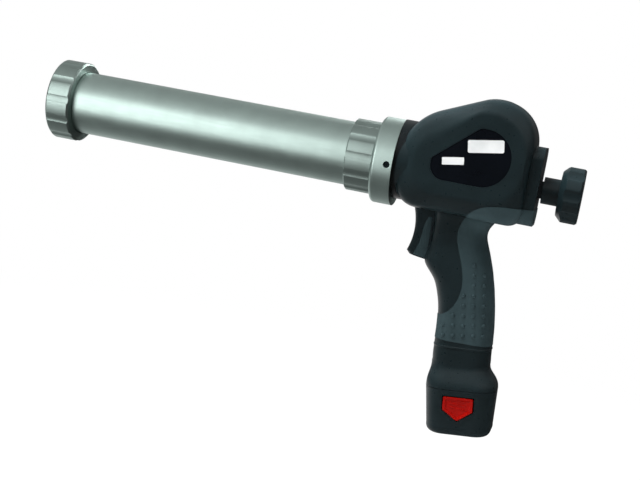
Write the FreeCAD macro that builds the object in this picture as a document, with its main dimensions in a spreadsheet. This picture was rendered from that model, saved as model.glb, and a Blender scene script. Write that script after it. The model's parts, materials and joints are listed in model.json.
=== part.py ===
import FreeCAD, Part
import math
import os
import re
import Sketcher

# Cordless caulking tool: an aluminium barrel for sealant bags and cartridges, a moulded
# pistol housing with the gear drive, a toothed push rod and a battery that plugs into the grip.
# The long axis of the barrel is X, the nozzle points to -X and the grip hangs down to -Z.
# The origin is the middle of the nozzle opening. Head and grip pieces are drawn from the
# front face of the housing, on the barrel axis, and moved back by HEAD_X.

Vector = FreeCAD.Vector

# Driving dimensions: lengths in millimetres, angles in degrees, counts and shares without unit.
SIZES = (
    ("cap_len", 22, "front cap, length"),
    ("cap_side", 7.6, "front cap, thickness of the side wall"),
    ("cap_wall", 3, "front cap, thickness of the front lip"),
    ("cap_lip", 7, "front cap, width of the lip in front of the barrel"),
    ("cap_edge", 1.6, "front cap, bevel of both edges"),
    ("flute_count", 12, "grip flutes on cap and nut"),
    ("flute_r", 9, "grip flutes, radius of the cutter"),
    ("flute_deep", 0.9, "grip flutes, depth"),
    ("thread_gap", 0.3, "room left for a screw thread, radial"),
    ("seat_gap", 0.3, "room between the seated faces of pieces that come apart"),
    ("ring_flange", 3, "nozzle ring, thickness of the flange"),
    ("ring_gap", 0.3, "nozzle ring, room inside the cap, radial"),
    ("nozzle_r", 13.5, "nozzle ring, radius of the opening"),
    ("nozzle_land", 2, "nozzle ring, straight length of the opening"),
    ("tube_r", 27, "barrel, outer radius"),
    ("tube_wall", 2, "barrel, wall"),
    ("tube_len", 299, "barrel, length"),
    ("tube_rim", 2.4, "barrel, height of the rear flange"),
    ("tube_flange_len", 3, "barrel, thickness of the rear flange"),
    ("nut_len", 23, "barrel nut, length in front of the collar"),
    ("nut_wall", 3.3, "barrel nut, wall"),
    ("nut_gap", 0.3, "barrel nut, room around the barrel, radial"),
    ("nut_edge", 0.8, "barrel nut, bevel of both edges"),
    ("collar_wall", 6.4, "collar, wall around the threaded bore"),
    ("collar_len", 18, "collar, length in front of the housing"),
    ("rim_gap", 0.6, "collar, room around the barrel's flange, radial"),
    ("collar_bore_deep", 12, "collar, depth of the threaded bore"),
    ("collar_edge", 3, "collar, rounding of the front edge"),
    ("pilot_r", 22, "collar, radius of the neck held by the housing"),
    ("pilot_flange_r", 25.5, "collar, radius of the flange behind the housing's front wall"),
    ("pilot_flange_len", 4, "collar, thickness of that flange"),
    ("spanner_hole_r", 2.8, "collar, radius of the spanner hole"),
    ("spanner_hole_deep", 6, "collar, depth of the spanner hole"),
    ("spanner_hole_back", 4.4, "collar, spanner hole in front of the housing"),
    ("spanner_hole_low", 2.1, "collar, spanner hole below the axis"),
    ("guide_r", 16, "front rod guide, radius"),
    ("rear_guide_r", 14, "rear rod guide, radius"),
    ("rear_guide_len", 10, "rear rod guide, length"),
    ("rod_gap", 0.1, "push rod, room in its guides"),
    ("rod_wide", 10, "push rod, width"),
    ("rod_high", 14, "push rod, height"),
    ("rod_front", 30, "push rod, start of the square bar behind the nozzle face"),
    ("rod_spigot_r", 5, "push rod, radius of the turned ends"),
    ("rod_travel", 260, "push rod, travel to the rear"),
    ("rack_module", 1.5, "rack and pinion, module"),
    ("rack_spare", 3, "rack, spare teeth at each end"),
    ("pinion_teeth", 16, "rack pinion, teeth"),
    ("pinion_half", 5.5, "rack pinion, half width"),
    ("final_module", 1, "final gear pair, module"),
    ("final_teeth", 40, "final gear, teeth"),
    ("idler_teeth", 14, "idler pinion, teeth"),
    ("final_low", 8, "final gear pair, distance of the near face from the mid plane"),
    ("final_wide", 7, "final gear pair, width"),
    ("first_module", 0.8, "first gear pair, module"),
    ("wheel_teeth", 40, "idler wheel, teeth"),
    ("output_teeth", 14, "motor pinion, teeth"),
    ("first_low", 16.6, "first gear pair, distance of the near face from the mid plane"),
    ("first_wide", 6, "first gear pair, width"),
    ("addendum_share", 0.8, "height of a tooth above the pitch line, in modules"),
    ("dedendum_share", 1.1, "depth of a tooth below the pitch line, in modules"),
    ("backlash_share", 0.16, "tooth thinning at the pitch line, in modules"),
    ("root_share", 1.12, "tooth width at the root, of the width at the pitch line"),
    ("flank_angle", 24, "slope of a tooth flank"),
    ("pinion_x", 40, "rack pinion axis behind the housing front"),
    ("idler_angle", 30, "direction from the pinion axis to the idler axis"),
    ("motor_angle", 10, "direction from the idler axis to the motor axis"),
    ("pinion_shaft_r", 5, "pinion shaft, radius"),
    ("idler_shaft_r", 3, "idler shaft, radius"),
    ("output_shaft_r", 2.5, "gearmotor output shaft, radius"),
    ("bush_wall", 2, "bearing bushes, wall"),
    ("bush_flange", 0.9, "bearing bushes, thickness and rim of the flange"),
    ("fit_gap", 0.05, "running fit of a shaft, radial"),
    ("plate_thick", 2.5, "gear plates, thickness"),
    ("left_plate_y", 7.4, "left gear plate, inner face from the mid plane"),
    ("right_plate_y", 24.4, "right gear plate, inner face from the mid plane"),
    ("plate_margin", 1.6, "gear plates, edge around pillars, standoffs and bushes"),
    ("plate_corner", 3, "gear plates, corner radius"),
    ("pillar_r", 3, "gear frame pillars, radius"),
    ("pillar_low", 12.5, "lower pillars, distance below the barrel axis"),
    ("pillar_front_x", 30, "front pillar behind the housing front"),
    ("pillar_rear_x", 62, "rear pillars behind the housing front"),
    ("pillar_top_x", 64.6, "upper pillar behind the housing front"),
    ("pillar_top_z", 11, "upper pillar above the barrel axis"),
    ("shoe_half", 6, "rod shoe, half width"),
    ("shoe_high", 10, "rod shoe, height"),
    ("shoe_over", 5, "rod shoe, length past each pillar"),
    ("motor_r", 13.8, "motor, radius"),
    ("motor_len", 28, "motor, length of the can"),
    ("motor_cap_r", 12, "motor end cap, radius"),
    ("motor_cap_len", 4, "motor end cap, length"),
    ("gearhead_r", 13.2, "gearhead, radius"),
    ("gearhead_len", 12.4, "gearhead, length"),
    ("gearhead_gap", 1.2, "gearhead face in front of the first gear pair"),
    ("standoff_r", 2.2, "motor standoffs, radius"),
    ("standoff_ring", 10, "motor standoffs, distance from the motor axis"),
    ("piston_len", 20, "piston, length"),
    ("piston_gap", 0.4, "piston, room in the barrel, radial"),
    ("seal_len", 5, "piston seal, length"),
    ("seal_deep", 3, "piston seal, depth of its groove"),
    ("seal_gap", 0.15, "piston seal, room in the barrel, radial"),
    ("screw_head_r", 7, "piston screw, radius of the head"),
    ("screw_head_len", 4.5, "piston screw, length of the head"),
    ("screw_shank_r", 3, "piston screw, radius of the shank"),
    ("screw_shank_len", 16, "piston screw, length of the shank"),
    ("screw_sink", 6, "piston, depth of the screw's recess"),
    ("screw_sink_r", 9, "piston, radius of the screw's recess"),
    ("knob_gap", 2.6, "pull knob, gap behind the housing"),
    ("knob_neck_r", 11, "pull knob, radius of the neck"),
    ("knob_neck_len", 13.6, "pull knob, length of the neck"),
    ("knob_r", 23.3, "pull knob, radius"),
    ("knob_len", 18.2, "pull knob, length of the disc"),
    ("knob_front_bevel", 5, "pull knob, bevel of the front edge"),
    ("knob_rear_bevel", 1.5, "pull knob, bevel of the rear edge"),
    ("knob_lobes", 8, "pull knob, hollows round the rim"),
    ("knob_hollow_r", 16, "pull knob, radius of a hollow"),
    ("knob_hollow_deep", 1.3, "pull knob, depth of a hollow"),
    ("knob_bore_deep", 20, "pull knob, depth of the rod's bore"),
    ("wall", 3, "housing, wall"),
    ("neck_r", 33.4, "housing neck, radius"),
    ("neck_rise", 3.4, "housing neck, middle above the axis"),
    ("neck_wall", 5, "housing neck, thickness of the front wall"),
    ("neck_into", 24.5, "housing neck, length inside the head"),
    ("head_front", 1.5, "head outline, front"),
    ("head_rear", 109.6, "head outline, rear"),
    ("head_top", 66.1, "head outline, top"),
    ("head_drop", 33, "head outline, bottom below the axis"),
    ("head_slope", 23, "head outline, slope of the roof"),
    ("head_slope_x", 69, "head outline, end of the slope"),
    ("head_low_r", 12, "head outline, lower rear corner radius"),
    ("head_chin_r", 21, "head outline, lower front radius"),
    ("head_nose_r", 46, "head outline, radius between front and roof"),
    ("bulb_r", 32.6, "head outline, radius of the motor dome"),
    ("face_front", 20.5, "flat side face, front"),
    ("face_rear", 104, "flat side face, rear"),
    ("face_top", 50.5, "flat side face, top"),
    ("face_drop", 16, "flat side face, bottom below the axis"),
    ("face_nose", 15, "flat side face, start of its slope above the axis"),
    ("face_slope_x", 62, "flat side face, end of its slope"),
    ("face_low_r", 22, "flat side face, lower front radius"),
    ("face_nose_r", 10, "flat side face, radius at the start of the slope"),
    ("face_slope_r", 16, "flat side face, radius at the end of the slope"),
    ("face_rear_r", 33, "flat side face, rear radius"),
    ("face_y", 35.5, "distance of the flat side face from the mid plane"),
    ("tail_x", 78, "tail, start behind the housing front"),
    ("tail_rear", 118, "tail, rear face behind the housing front"),
    ("tail_rise", 34.4, "tail, top above the axis"),
    ("tail_drop", 29.8, "tail, bottom below the axis"),
    ("tail_half", 25, "tail, half width"),
    ("tail_r", 11, "tail, corner radius"),
    ("tail_wall", 8, "tail, thickness of the rear wall"),
    ("grip_x", 58, "grip, front edge at its lower end"),
    ("grip_depth", 50, "grip, front to back at its lower end"),
    ("grip_drop", 158, "grip, lower end below the axis"),
    ("grip_half", 19, "grip, half width"),
    ("grip_corner", 15, "grip, corner radius"),
    ("grip_lean", 7, "grip, lean of the battery axis"),
    ("seam_x", 85.2, "battery axis at the seam, behind the housing front"),
    ("seam_drop", 173.5, "seam to the battery, below the axis"),
    ("flare_high", 21, "lower flare, height above the seam"),
    ("foot_long", 58.6, "battery foot, length at the seam"),
    ("foot_wide", 50, "battery foot, width at the seam"),
    ("foot_corner", 17, "battery foot, corner radius"),
    ("foot_shift", 2.2, "battery foot, middle behind the battery axis"),
    ("foot_high", 31, "battery foot, height"),
    ("foot_taper", 2.2, "battery foot, taper of each side"),
    ("foot_gap", 0.3, "seam between housing and battery foot"),
    ("base_high", 8, "battery base plate, thickness"),
    ("base_round", 6.5, "battery base plate, rounding of the lower edge"),
    ("cell_r", 9.2, "battery cell, radius"),
    ("cell_len", 65, "battery cell, length"),
    ("cell_gap", 0.2, "battery cell, room around it"),
    ("stem_wall", 1.2, "battery stem, wall"),
    ("stem_gap", 1, "battery stem, room left at its top over the cells"),
    ("stem_top", 2, "battery stem, thickness of the top"),
    ("contact_wide", 6, "battery contacts, width"),
    ("contact_thick", 1, "battery contacts, thickness"),
    ("contact_high", 6, "battery contacts, height over the stem"),
    ("contact_pitch", 16, "battery contacts, distance between the two"),
    ("block_high", 12, "contact block, height"),
    ("block_long", 26, "contact block, length"),
    ("block_half", 12, "contact block, half width"),
    ("block_gap", 0.4, "contact block, room over the stem and round the contacts"),
    ("latch_wide", 26, "latch button, width"),
    ("latch_high", 20.5, "latch button, height"),
    ("latch_shoulder", 11.5, "latch button, height of the straight sides"),
    ("latch_drop", 5.5, "latch button, top below the seam"),
    ("latch_thick", 5, "latch button, thickness"),
    ("latch_proud", 0.9, "latch button, height over the foot's side"),
    ("latch_travel", 2.5, "latch button, travel"),
    ("latch_gap", 0.3, "latch button, room around it"),
    ("latch_corner", 1.5, "latch button, corner radius"),
    ("trigger_half", 8, "trigger, half width"),
    ("trigger_gap", 0.4, "trigger, room in its slot"),
    ("trigger_top", 33.6, "trigger, top below the axis"),
    ("trigger_low", 75.2, "trigger, bottom below the axis"),
    ("trigger_front", 19.8, "trigger, upper front corner behind the housing front"),
    ("trigger_hollow_x", 23.2, "trigger, deepest point of the finger hollow"),
    ("trigger_hollow_z", 53, "trigger, finger hollow below the axis"),
    ("trigger_tip_x", 20, "trigger, tip behind the housing front"),
    ("trigger_tip_z", 70, "trigger, tip below the axis"),
    ("trigger_rear", 43, "trigger, rear face behind the housing front"),
    ("trigger_edge", 6, "trigger, rounding of the front edges"),
    ("trigger_nib", 2.5, "trigger, bevel under the tip"),
    ("trigger_travel", 6.5, "trigger, travel"),
    ("switch_long", 24, "switch, length"),
    ("switch_high", 26, "switch, height"),
    ("switch_half", 11, "switch, half width"),
    ("switch_drop", 43, "switch, top below the axis"),
    ("plunger_r", 3.4, "switch plunger, radius"),
    ("plunger_into", 4, "switch plunger, length inside the switch"),
    ("pad_deep", 1.4, "grip rubber, depth in the housing"),
    ("pad_proud", 0.4, "grip rubber, height over the housing"),
    ("label_deep", 0.8, "label recess, depth"),
    ("label_gap", 0.2, "label, room in its recess"),
    ("label_thick", 0.5, "label, thickness"),
    ("label_margin", 10, "label recess, distance from the edge of the side face"),
    ("label_corner", 4, "label recess, least corner radius"),
    ("rib_thick", 2.4, "housing ribs, thickness"),
    ("rib_gap", 0.2, "housing ribs, room beside the piece they hold"),
    ("boss_r", 5.2, "housing screw bosses, radius"),
    ("bolt_r", 1.6, "housing screws, radius"),
    ("bolt_gap", 0.3, "housing screws, room in the right half"),
    ("bolt_head_r", 3.1, "housing screws, radius of the head"),
    ("bolt_head_len", 2.6, "housing screws, length of the head"),
    ("bolt_seat", 11, "housing screws, seat of the head from the mid plane"),
    ("bolt_into", 9, "housing screws, length in the left half"),
    ("bolt_front_x", 24, "front housing screw behind the housing front"),
    ("bolt_front_drop", 24.5, "front housing screw below the axis"),
    ("bolt_roof_x", 44.2, "roof housing screw behind the housing front"),
    ("bolt_roof_z", 46.9, "roof housing screw above the axis"),
    ("bolt_dome_x", 95.7, "dome housing screw behind the housing front"),
    ("bolt_dome_z", 50.9, "dome housing screw above the axis"),
    ("bolt_tail_x", 102.2, "tail housing screw behind the housing front"),
    ("bolt_tail_drop", 19.4, "tail housing screw below the axis"),
    ("bolt_grip_x", 80, "grip housing screw behind the housing front"),
    ("bolt_grip_drop", 98, "grip housing screw below the axis"),
    ("overrun", 2, "length by which a cutter passes its face"),
)

doc = FreeCAD.newDocument("caulking_tool")
sheet = doc.addObject("Spreadsheet::Sheet", "Sizes")
for row, (alias, number, meaning) in enumerate(SIZES, 1):
    sheet.set("A%d" % row, meaning)
    sheet.set("B%d" % row, str(number))
    sheet.setAlias("B%d" % row, alias)
doc.recompute()

# Lengths closer than this count as equal when an edge is looked up.
FINE = 1e-6
NAMES = {alias for alias, number, meaning in SIZES}
NODES = []

# Places that several pieces share, written in the names of the sheet.
CAP_R = "(tube_r + thread_gap + cap_side)"
CAP_HOLE_R = "(tube_r - cap_lip)"
RIM_R = "(tube_r + tube_rim)"
NUT_R = "(tube_r + nut_gap + nut_wall)"
COLLAR_BORE_R = "(%s + rim_gap)" % RIM_R
COLLAR_R = "(%s + collar_wall)" % COLLAR_BORE_R
NUT_THREAD_R = "(%s - thread_gap)" % COLLAR_BORE_R
TUBE_X = "(cap_wall + ring_flange)"
COLLAR_X = "(%s + tube_len - collar_bore_deep)" % TUBE_X
HEAD_X = "(%s + collar_len)" % COLLAR_X
SHOULDER = "(collar_len - collar_bore_deep - seat_gap)"
PINION_Z = "(rod_high / 2 + rack_module * (pinion_teeth / 2 - addendum_share))"
FINAL_DIST = "(final_module * (final_teeth + idler_teeth) / 2)"
IDLER_X = "(pinion_x + %s * cos(idler_angle))" % FINAL_DIST
IDLER_Z = "(%s + %s * sin(idler_angle))" % (PINION_Z, FINAL_DIST)
FIRST_DIST = "(first_module * (wheel_teeth + output_teeth) / 2)"
MOTOR_X = "(%s + %s * cos(motor_angle))" % (IDLER_X, FIRST_DIST)
MOTOR_Z = "(%s + %s * sin(motor_angle))" % (IDLER_Z, FIRST_DIST)
GEARHEAD_Y = "(first_low - gearhead_gap)"
KNOB_X = "(tail_rear + knob_gap)"
SHOE_TOP = "(-rod_high / 2 - rod_gap)"


def bound(text):
    """The expression with every size name turned into a reference to its cell."""
    def cell(word):
        return "Sizes." + word.group() if word.group() in NAMES else word.group()
    return re.sub(r"[a-z]\w*", cell, text)


def value(text):
    """The number that an expression of size names stands for."""
    return float(sheet.evalExpression(bound(text)))


def node(piece, label):
    """Give a finished piece its name and list it for export."""
    piece.Label = label
    NODES.append(piece)
    return piece


def place(piece, x="0", y="0", z="0", turn=None):
    """Bind the place of a piece, and its turn about the Y axis, to the sheet."""
    if turn is not None:
        piece.Placement = FreeCAD.Placement(Vector(), FreeCAD.Rotation(Vector(0, 1, 0), value(turn)))
        piece.setExpression("Placement.Rotation.Angle", bound(turn))
    for axis, text in zip("xyz", (x, y, z)):
        piece.setExpression("Placement.Base.%s" % axis, bound(text))


def head_place(piece):
    """Place of a piece that is drawn from the front face of the housing."""
    place(piece, HEAD_X)


def seam_place(piece):
    """Place of a battery piece: its Z axis is the leaning battery axis, from the seam up."""
    place(piece, "%s + seam_x" % HEAD_X, "0", "-seam_drop", "-grip_lean")


def new_body(name):
    return doc.addObject("PartDesign::Body", name)


def new_sketch(body, name, plane):
    """An empty sketch on one of the body's own origin planes."""
    sketch = body.newObject("Sketcher::SketchObject", name)
    support = [item for item in body.Origin.OriginFeatures if item.Role == plane][0]
    sketch.AttachmentSupport = [(support, "")]
    sketch.MapMode = "FlatFace"
    return sketch


def fix_point(sketch, item, end, across, up, point):
    """Bind a point of the sketch to two expressions measured from the origin."""
    for kind, text, number, axis in (("DistanceX", across, point.x, -2), ("DistanceY", up, point.y, -1)):
        if text == "0":
            sketch.addConstraint(Sketcher.Constraint("PointOnObject", item, end, axis))
        else:
            index = sketch.addConstraint(Sketcher.Constraint(kind, item, end, number))
            sketch.setExpression("Constraints[%d]" % index, bound(text))


def outline_sketch(body, name, plane, corners):
    """A closed outline of straight sides whose corners are pairs of expressions."""
    sketch = new_sketch(body, name, plane)
    points = [Vector(value(across), value(up), 0) for across, up in corners]
    count = len(points)
    for index in range(count):
        sketch.addGeometry(Part.LineSegment(points[index], points[(index + 1) % count]))
    for index in range(count):
        sketch.addConstraint(Sketcher.Constraint("Coincident", index, 2, (index + 1) % count, 1))
    for index, (across, up) in enumerate(corners):
        fix_point(sketch, index, 1, across, up, points[index])
    return sketch


def circle_sketch(body, name, plane, circles):
    """Circles given as (across, up, radius) expressions."""
    sketch = new_sketch(body, name, plane)
    for index, (across, up, radius) in enumerate(circles):
        middle = Vector(value(across), value(up), 0)
        sketch.addGeometry(Part.Circle(middle, Vector(0, 0, 1), value(radius)))
        fix_point(sketch, index, 3, across, up, middle)
        number = sketch.addConstraint(Sketcher.Constraint("Radius", index, value(radius)))
        sketch.setExpression("Constraints[%d]" % number, bound(radius))
    return sketch


def revolve(body, name, plane, axis, corners):
    """Turn an outline once around an axis of its sketch."""
    sketch = outline_sketch(body, name + "_outline", plane, corners)
    feature = body.newObject("PartDesign::Revolution", name)
    feature.Profile = sketch
    feature.ReferenceAxis = (sketch, [axis])
    feature.Angle = 360
    return feature


def pad(body, name, sketch, length, both=False, back=False):
    feature = body.newObject("PartDesign::Pad", name)
    feature.Profile = sketch
    feature.setExpression("Length", bound(length))
    feature.SideType = "Symmetric" if both else "One side"
    feature.Reversed = back
    return feature


def pocket(body, name, sketch, length=None, back=False):
    """Cut a sketch through the whole body, or to a depth on one side of its plane."""
    feature = body.newObject("PartDesign::Pocket", name)
    feature.Profile = sketch
    feature.Reversed = back
    if length is None:
        feature.Type = "ThroughAll"
        feature.SideType = "Symmetric"
    else:
        feature.setExpression("Length", bound(length))
    return feature


def around(body, name, feature, sketch, count):
    """Repeat a feature around the middle of its sketch."""
    pattern = body.newObject("PartDesign::PolarPattern", name)
    pattern.Originals = [feature]
    pattern.Axis = (sketch, ["N_Axis"])
    pattern.Angle = 360
    pattern.setExpression("Occurrences", bound(count))
    body.Tip = pattern
    return pattern


def edges_where(feature, test):
    """Names of the edges of a feature that pass a test."""
    doc.recompute()
    return ["Edge%d" % number for number, edge in enumerate(feature.Shape.Edges, 1) if test(edge)]


def dress(body, kind, name, feature, test, size):
    """A fillet or chamfer on the edges that pass a test."""
    names = edges_where(feature, test)
    dressing = body.newObject("PartDesign::" + kind, name)
    dressing.Base = (feature, names)
    dressing.setExpression("Radius" if kind == "Fillet" else "Size", bound(size))
    return dressing


def crosswise(thickness):
    """Test for an edge that runs across a flat piece of that thickness."""
    least = value(thickness) / 2
    return lambda edge: edge.BoundBox.YLength > least


def rim_at(x, radius):
    """Test for a full circle about the X axis at one end of a turned piece."""
    def test(edge):
        box = edge.BoundBox
        level = box.XLength < FINE and abs(box.XMin - value(x)) < FINE
        return level and abs(box.ZLength / 2 - value(radius)) < FINE
    return test


def turned(label, corners, x="0"):
    """A piece turned about the barrel axis, from (along, radius) corners."""
    body = new_body(label)
    revolve(body, label + "_turn", "XZ_Plane", "H_Axis", corners)
    place(body, x)
    return body


def spun(label, corners, x, z):
    """A piece turned about a cross axis at (x, z) of the head, from (radius, y) corners."""
    body = new_body(label)
    revolve(body, label + "_turn", "XY_Plane", "V_Axis", corners)
    place(body, "%s + %s" % (HEAD_X, x), "0", z)
    return node(body, label)


def ring_corners(inner, outer, low, high):
    return ((inner, low), (outer, low), (outer, high), (inner, high))


def flutes(body, feature_name, radius, cutter_r, deep, count):
    """Shallow hollows around a turned piece, along its whole length."""
    sketch = circle_sketch(body, feature_name + "_hollow", "YZ_Plane",
                           (("0", "%s + %s - %s" % (radius, cutter_r, deep), cutter_r),))
    cut = pocket(body, feature_name + "_cut", sketch)
    return around(body, feature_name, cut, sketch, count)


def front_cap():
    """Fluted cap that screws on the barrel and holds the nozzle ring."""
    body = turned("front_cap", (
        ("0", CAP_HOLE_R),
        ("0", "%s - cap_edge" % CAP_R),
        ("cap_edge", CAP_R),
        ("cap_len - cap_edge", CAP_R),
        ("cap_len", "%s - cap_edge" % CAP_R),
        ("cap_len", "tube_r + thread_gap"),
        ("cap_wall", "tube_r + thread_gap"),
        ("cap_wall", CAP_HOLE_R),
    ))
    flutes(body, "cap_flutes", CAP_R, "flute_r", "flute_deep", "flute_count")
    node(body, "front_cap")


def nozzle_ring():
    """Plastic ring inside the cap, with the opening that a nozzle or a cartridge neck passes."""
    body = turned("nozzle_ring", (
        ("0", "nozzle_r"),
        ("0", "%s - ring_gap" % CAP_HOLE_R),
        ("cap_wall + seat_gap", "%s - ring_gap" % CAP_HOLE_R),
        ("cap_wall + seat_gap", "tube_r - ring_gap"),
        ("%s - seat_gap" % TUBE_X, "tube_r - ring_gap"),
        ("%s - seat_gap" % TUBE_X, "tube_r - tube_wall"),
        ("nozzle_land", "nozzle_r"),
    ))
    node(body, "nozzle_ring")


def barrel_tube():
    body = turned("barrel_tube", (
        ("0", "tube_r - tube_wall"),
        ("0", "tube_r"),
        ("tube_len - tube_flange_len", "tube_r"),
        ("tube_len - tube_flange_len", RIM_R),
        ("tube_len", RIM_R),
        ("tube_len", "tube_r - tube_wall"),
    ), TUBE_X)
    node(body, "barrel_tube")


def barrel_nut():
    """Fluted nut that screws into the collar and traps the flange of the barrel."""
    body = turned("barrel_nut", (
        ("-nut_len", "tube_r + nut_gap"),
        ("-nut_len", "%s - nut_edge" % NUT_R),
        ("nut_edge - nut_len", NUT_R),
        ("-nut_edge", NUT_R),
        ("0", "%s - nut_edge" % NUT_R),
        ("0", NUT_THREAD_R),
        ("collar_bore_deep - tube_flange_len - seat_gap", NUT_THREAD_R),
        ("collar_bore_deep - tube_flange_len - seat_gap", "tube_r + nut_gap"),
    ), COLLAR_X)
    sketch = circle_sketch(body, "nut_hollow", "YZ_Plane",
                           (("0", "%s + flute_r - flute_deep" % NUT_R, "flute_r"),))
    cut = pocket(body, "nut_cut", sketch, "nut_len")
    around(body, "nut_flutes", cut, sketch, "flute_count")
    node(body, "barrel_nut")


def collar():
    """Threaded aluminium collar, held by its flange behind the front wall of the housing."""
    body = turned("collar", (
        ("-collar_len", COLLAR_BORE_R),
        ("-collar_len", COLLAR_R),
        ("0", COLLAR_R),
        ("0", "pilot_r"),
        ("neck_wall", "pilot_r"),
        ("neck_wall", "pilot_flange_r"),
        ("neck_wall + pilot_flange_len", "pilot_flange_r"),
        ("neck_wall + pilot_flange_len", "guide_r"),
        ("-" + SHOULDER, "guide_r"),
        ("-" + SHOULDER, COLLAR_BORE_R),
    ), HEAD_X)
    dress(body, "Fillet", "collar_front", body.Tip, rim_at("-collar_len", COLLAR_R), "collar_edge")
    sketch = circle_sketch(body, "spanner_circle", "XZ_Plane",
                           (("-spanner_hole_back", "-spanner_hole_low", "spanner_hole_r"),))
    sketch.setExpression("AttachmentOffset.Base.z", bound(COLLAR_R))
    pocket(body, "spanner_hole", sketch, "spanner_hole_deep")
    node(body, "collar")


def rod_guide(label, radius, low, high):
    """Plain bush with a rectangular hole for the push rod."""
    body = new_body(label)
    disc = circle_sketch(body, label + "_disc", "YZ_Plane", (("0", "0", radius),))
    pad(body, label + "_pad", disc, "%s - %s" % (high, low))
    hole = outline_sketch(body, label + "_hole", "YZ_Plane", (
        ("-rod_wide / 2 - rod_gap", "-rod_high / 2 - rod_gap"),
        ("rod_wide / 2 + rod_gap", "-rod_high / 2 - rod_gap"),
        ("rod_wide / 2 + rod_gap", "rod_high / 2 + rod_gap"),
        ("-rod_wide / 2 - rod_gap", "rod_high / 2 + rod_gap"),
    ))
    pocket(body, label + "_cut", hole)
    place(body, "%s + %s" % (HEAD_X, low))
    node(body, label)


def push_rod():
    """Square steel rod with rack teeth on top and a turned spigot at each end."""
    body = new_body("push_rod")
    section = outline_sketch(body, "rod_section", "YZ_Plane", (
        ("-rod_wide / 2", "-rod_high / 2"),
        ("rod_wide / 2", "-rod_high / 2"),
        ("rod_wide / 2", "rod_high / 2"),
        ("-rod_wide / 2", "rod_high / 2"),
    ))
    section.setExpression("AttachmentOffset.Base.z", bound("rod_front"))
    pad(body, "rod_bar", section, "%s + %s - rod_front" % (HEAD_X, KNOB_X))
    front = circle_sketch(body, "front_spigot_circle", "YZ_Plane", (("0", "0", "rod_spigot_r"),))
    front.setExpression("AttachmentOffset.Base.z", bound("rod_front"))
    pad(body, "front_spigot", front, "piston_len - screw_sink", back=True)
    rear = circle_sketch(body, "rear_spigot_circle", "YZ_Plane", (("0", "0", "rod_spigot_r"),))
    rear.setExpression("AttachmentOffset.Base.z", bound("%s + %s" % (HEAD_X, KNOB_X)))
    pad(body, "rear_spigot", rear, "knob_bore_deep")
    thread = circle_sketch(body, "thread_circle", "YZ_Plane", (("0", "0", "screw_shank_r"),))
    thread.setExpression("AttachmentOffset.Base.z", bound("rod_front - piston_len + screw_sink"))
    pocket(body, "thread_hole", thread, "screw_shank_len", back=True)
    pitch = "(pi * rack_module)"
    teeth = "(floor(rod_travel / %s) + 2 * rack_spare)" % pitch
    middle = "(%s + pinion_x + rack_spare * %s)" % (HEAD_X, pitch)
    root = "rod_high / 2 - rack_module * (addendum_share + dedendum_share)"
    wide = "(rack_module * (pi / 2 + backlash_share) / 2)"
    top = "(%s + rack_module * addendum_share * tan(flank_angle))" % wide
    low = "(%s - rack_module * dedendum_share * tan(flank_angle))" % wide
    gap = outline_sketch(body, "rack_gap", "XZ_Plane", (
        ("%s - %s" % (middle, low), root),
        ("%s + %s" % (middle, low), root),
        ("%s + %s" % (middle, top), "rod_high / 2"),
        ("%s - %s" % (middle, top), "rod_high / 2"),
    ))
    cut = pocket(body, "rack_cut", gap)
    pattern = body.newObject("PartDesign::LinearPattern", "rack_teeth")
    pattern.Originals = [cut]
    pattern.Direction = (gap, ["H_Axis"])
    pattern.Reversed = True
    pattern.setExpression("Length", bound("(%s - 1) * %s" % (teeth, pitch)))
    pattern.setExpression("Occurrences", bound(teeth))
    body.Tip = pattern
    node(body, "push_rod")


def piston():
    """Aluminium piston with a seal groove and a recess for its screw."""
    front = "(rod_front - piston_len)"
    middle = "(rod_front - piston_len / 2)"
    outer = "(tube_r - tube_wall - piston_gap)"
    node(turned("piston", (
        ("rod_front", "rod_spigot_r"),
        ("%s + screw_sink" % front, "rod_spigot_r"),
        ("%s + screw_sink" % front, "screw_sink_r"),
        (front, "screw_sink_r"),
        (front, outer),
        ("%s - seal_len / 2" % middle, outer),
        ("%s - seal_len / 2" % middle, "%s - seal_deep" % outer),
        ("%s + seal_len / 2" % middle, "%s - seal_deep" % outer),
        ("%s + seal_len / 2" % middle, outer),
        ("rod_front", outer),
    )), "piston")
    lip = "(tube_r - tube_wall - seal_gap)"
    node(turned("piston_seal", (
        ("%s - seal_len / 2" % middle, "%s - seal_deep" % outer),
        ("%s - seal_len / 2" % middle, lip),
        ("%s + seal_len / 2" % middle, outer),
        ("%s + seal_len / 2" % middle, "%s - seal_deep" % outer),
    )), "piston_seal")
    seat = "(%s + screw_sink)" % front
    node(turned("piston_screw", (
        ("%s - screw_head_len" % seat, "0"),
        ("%s - screw_head_len" % seat, "screw_head_r"),
        (seat, "screw_head_r"),
        (seat, "screw_shank_r"),
        ("%s + screw_shank_len" % seat, "screw_shank_r"),
        ("%s + screw_shank_len" % seat, "0"),
    )), "piston_screw")


def rod_knob():
    """Pull knob at the rear end of the rod, with hollows for the fingers."""
    body = turned("rod_knob", (
        ("0", "rod_spigot_r"),
        ("0", "knob_neck_r"),
        ("knob_neck_len", "knob_neck_r"),
        ("knob_neck_len", "knob_r - knob_front_bevel"),
        ("knob_neck_len + knob_front_bevel", "knob_r"),
        ("knob_neck_len + knob_len - knob_rear_bevel", "knob_r"),
        ("knob_neck_len + knob_len", "knob_r - knob_rear_bevel"),
        ("knob_neck_len + knob_len", "0"),
        ("knob_bore_deep", "0"),
        ("knob_bore_deep", "rod_spigot_r"),
    ), "%s + %s" % (HEAD_X, KNOB_X))
    flutes(body, "knob_hollows", "knob_r", "knob_hollow_r", "knob_hollow_deep", "knob_lobes")
    node(body, "rod_knob")


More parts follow.
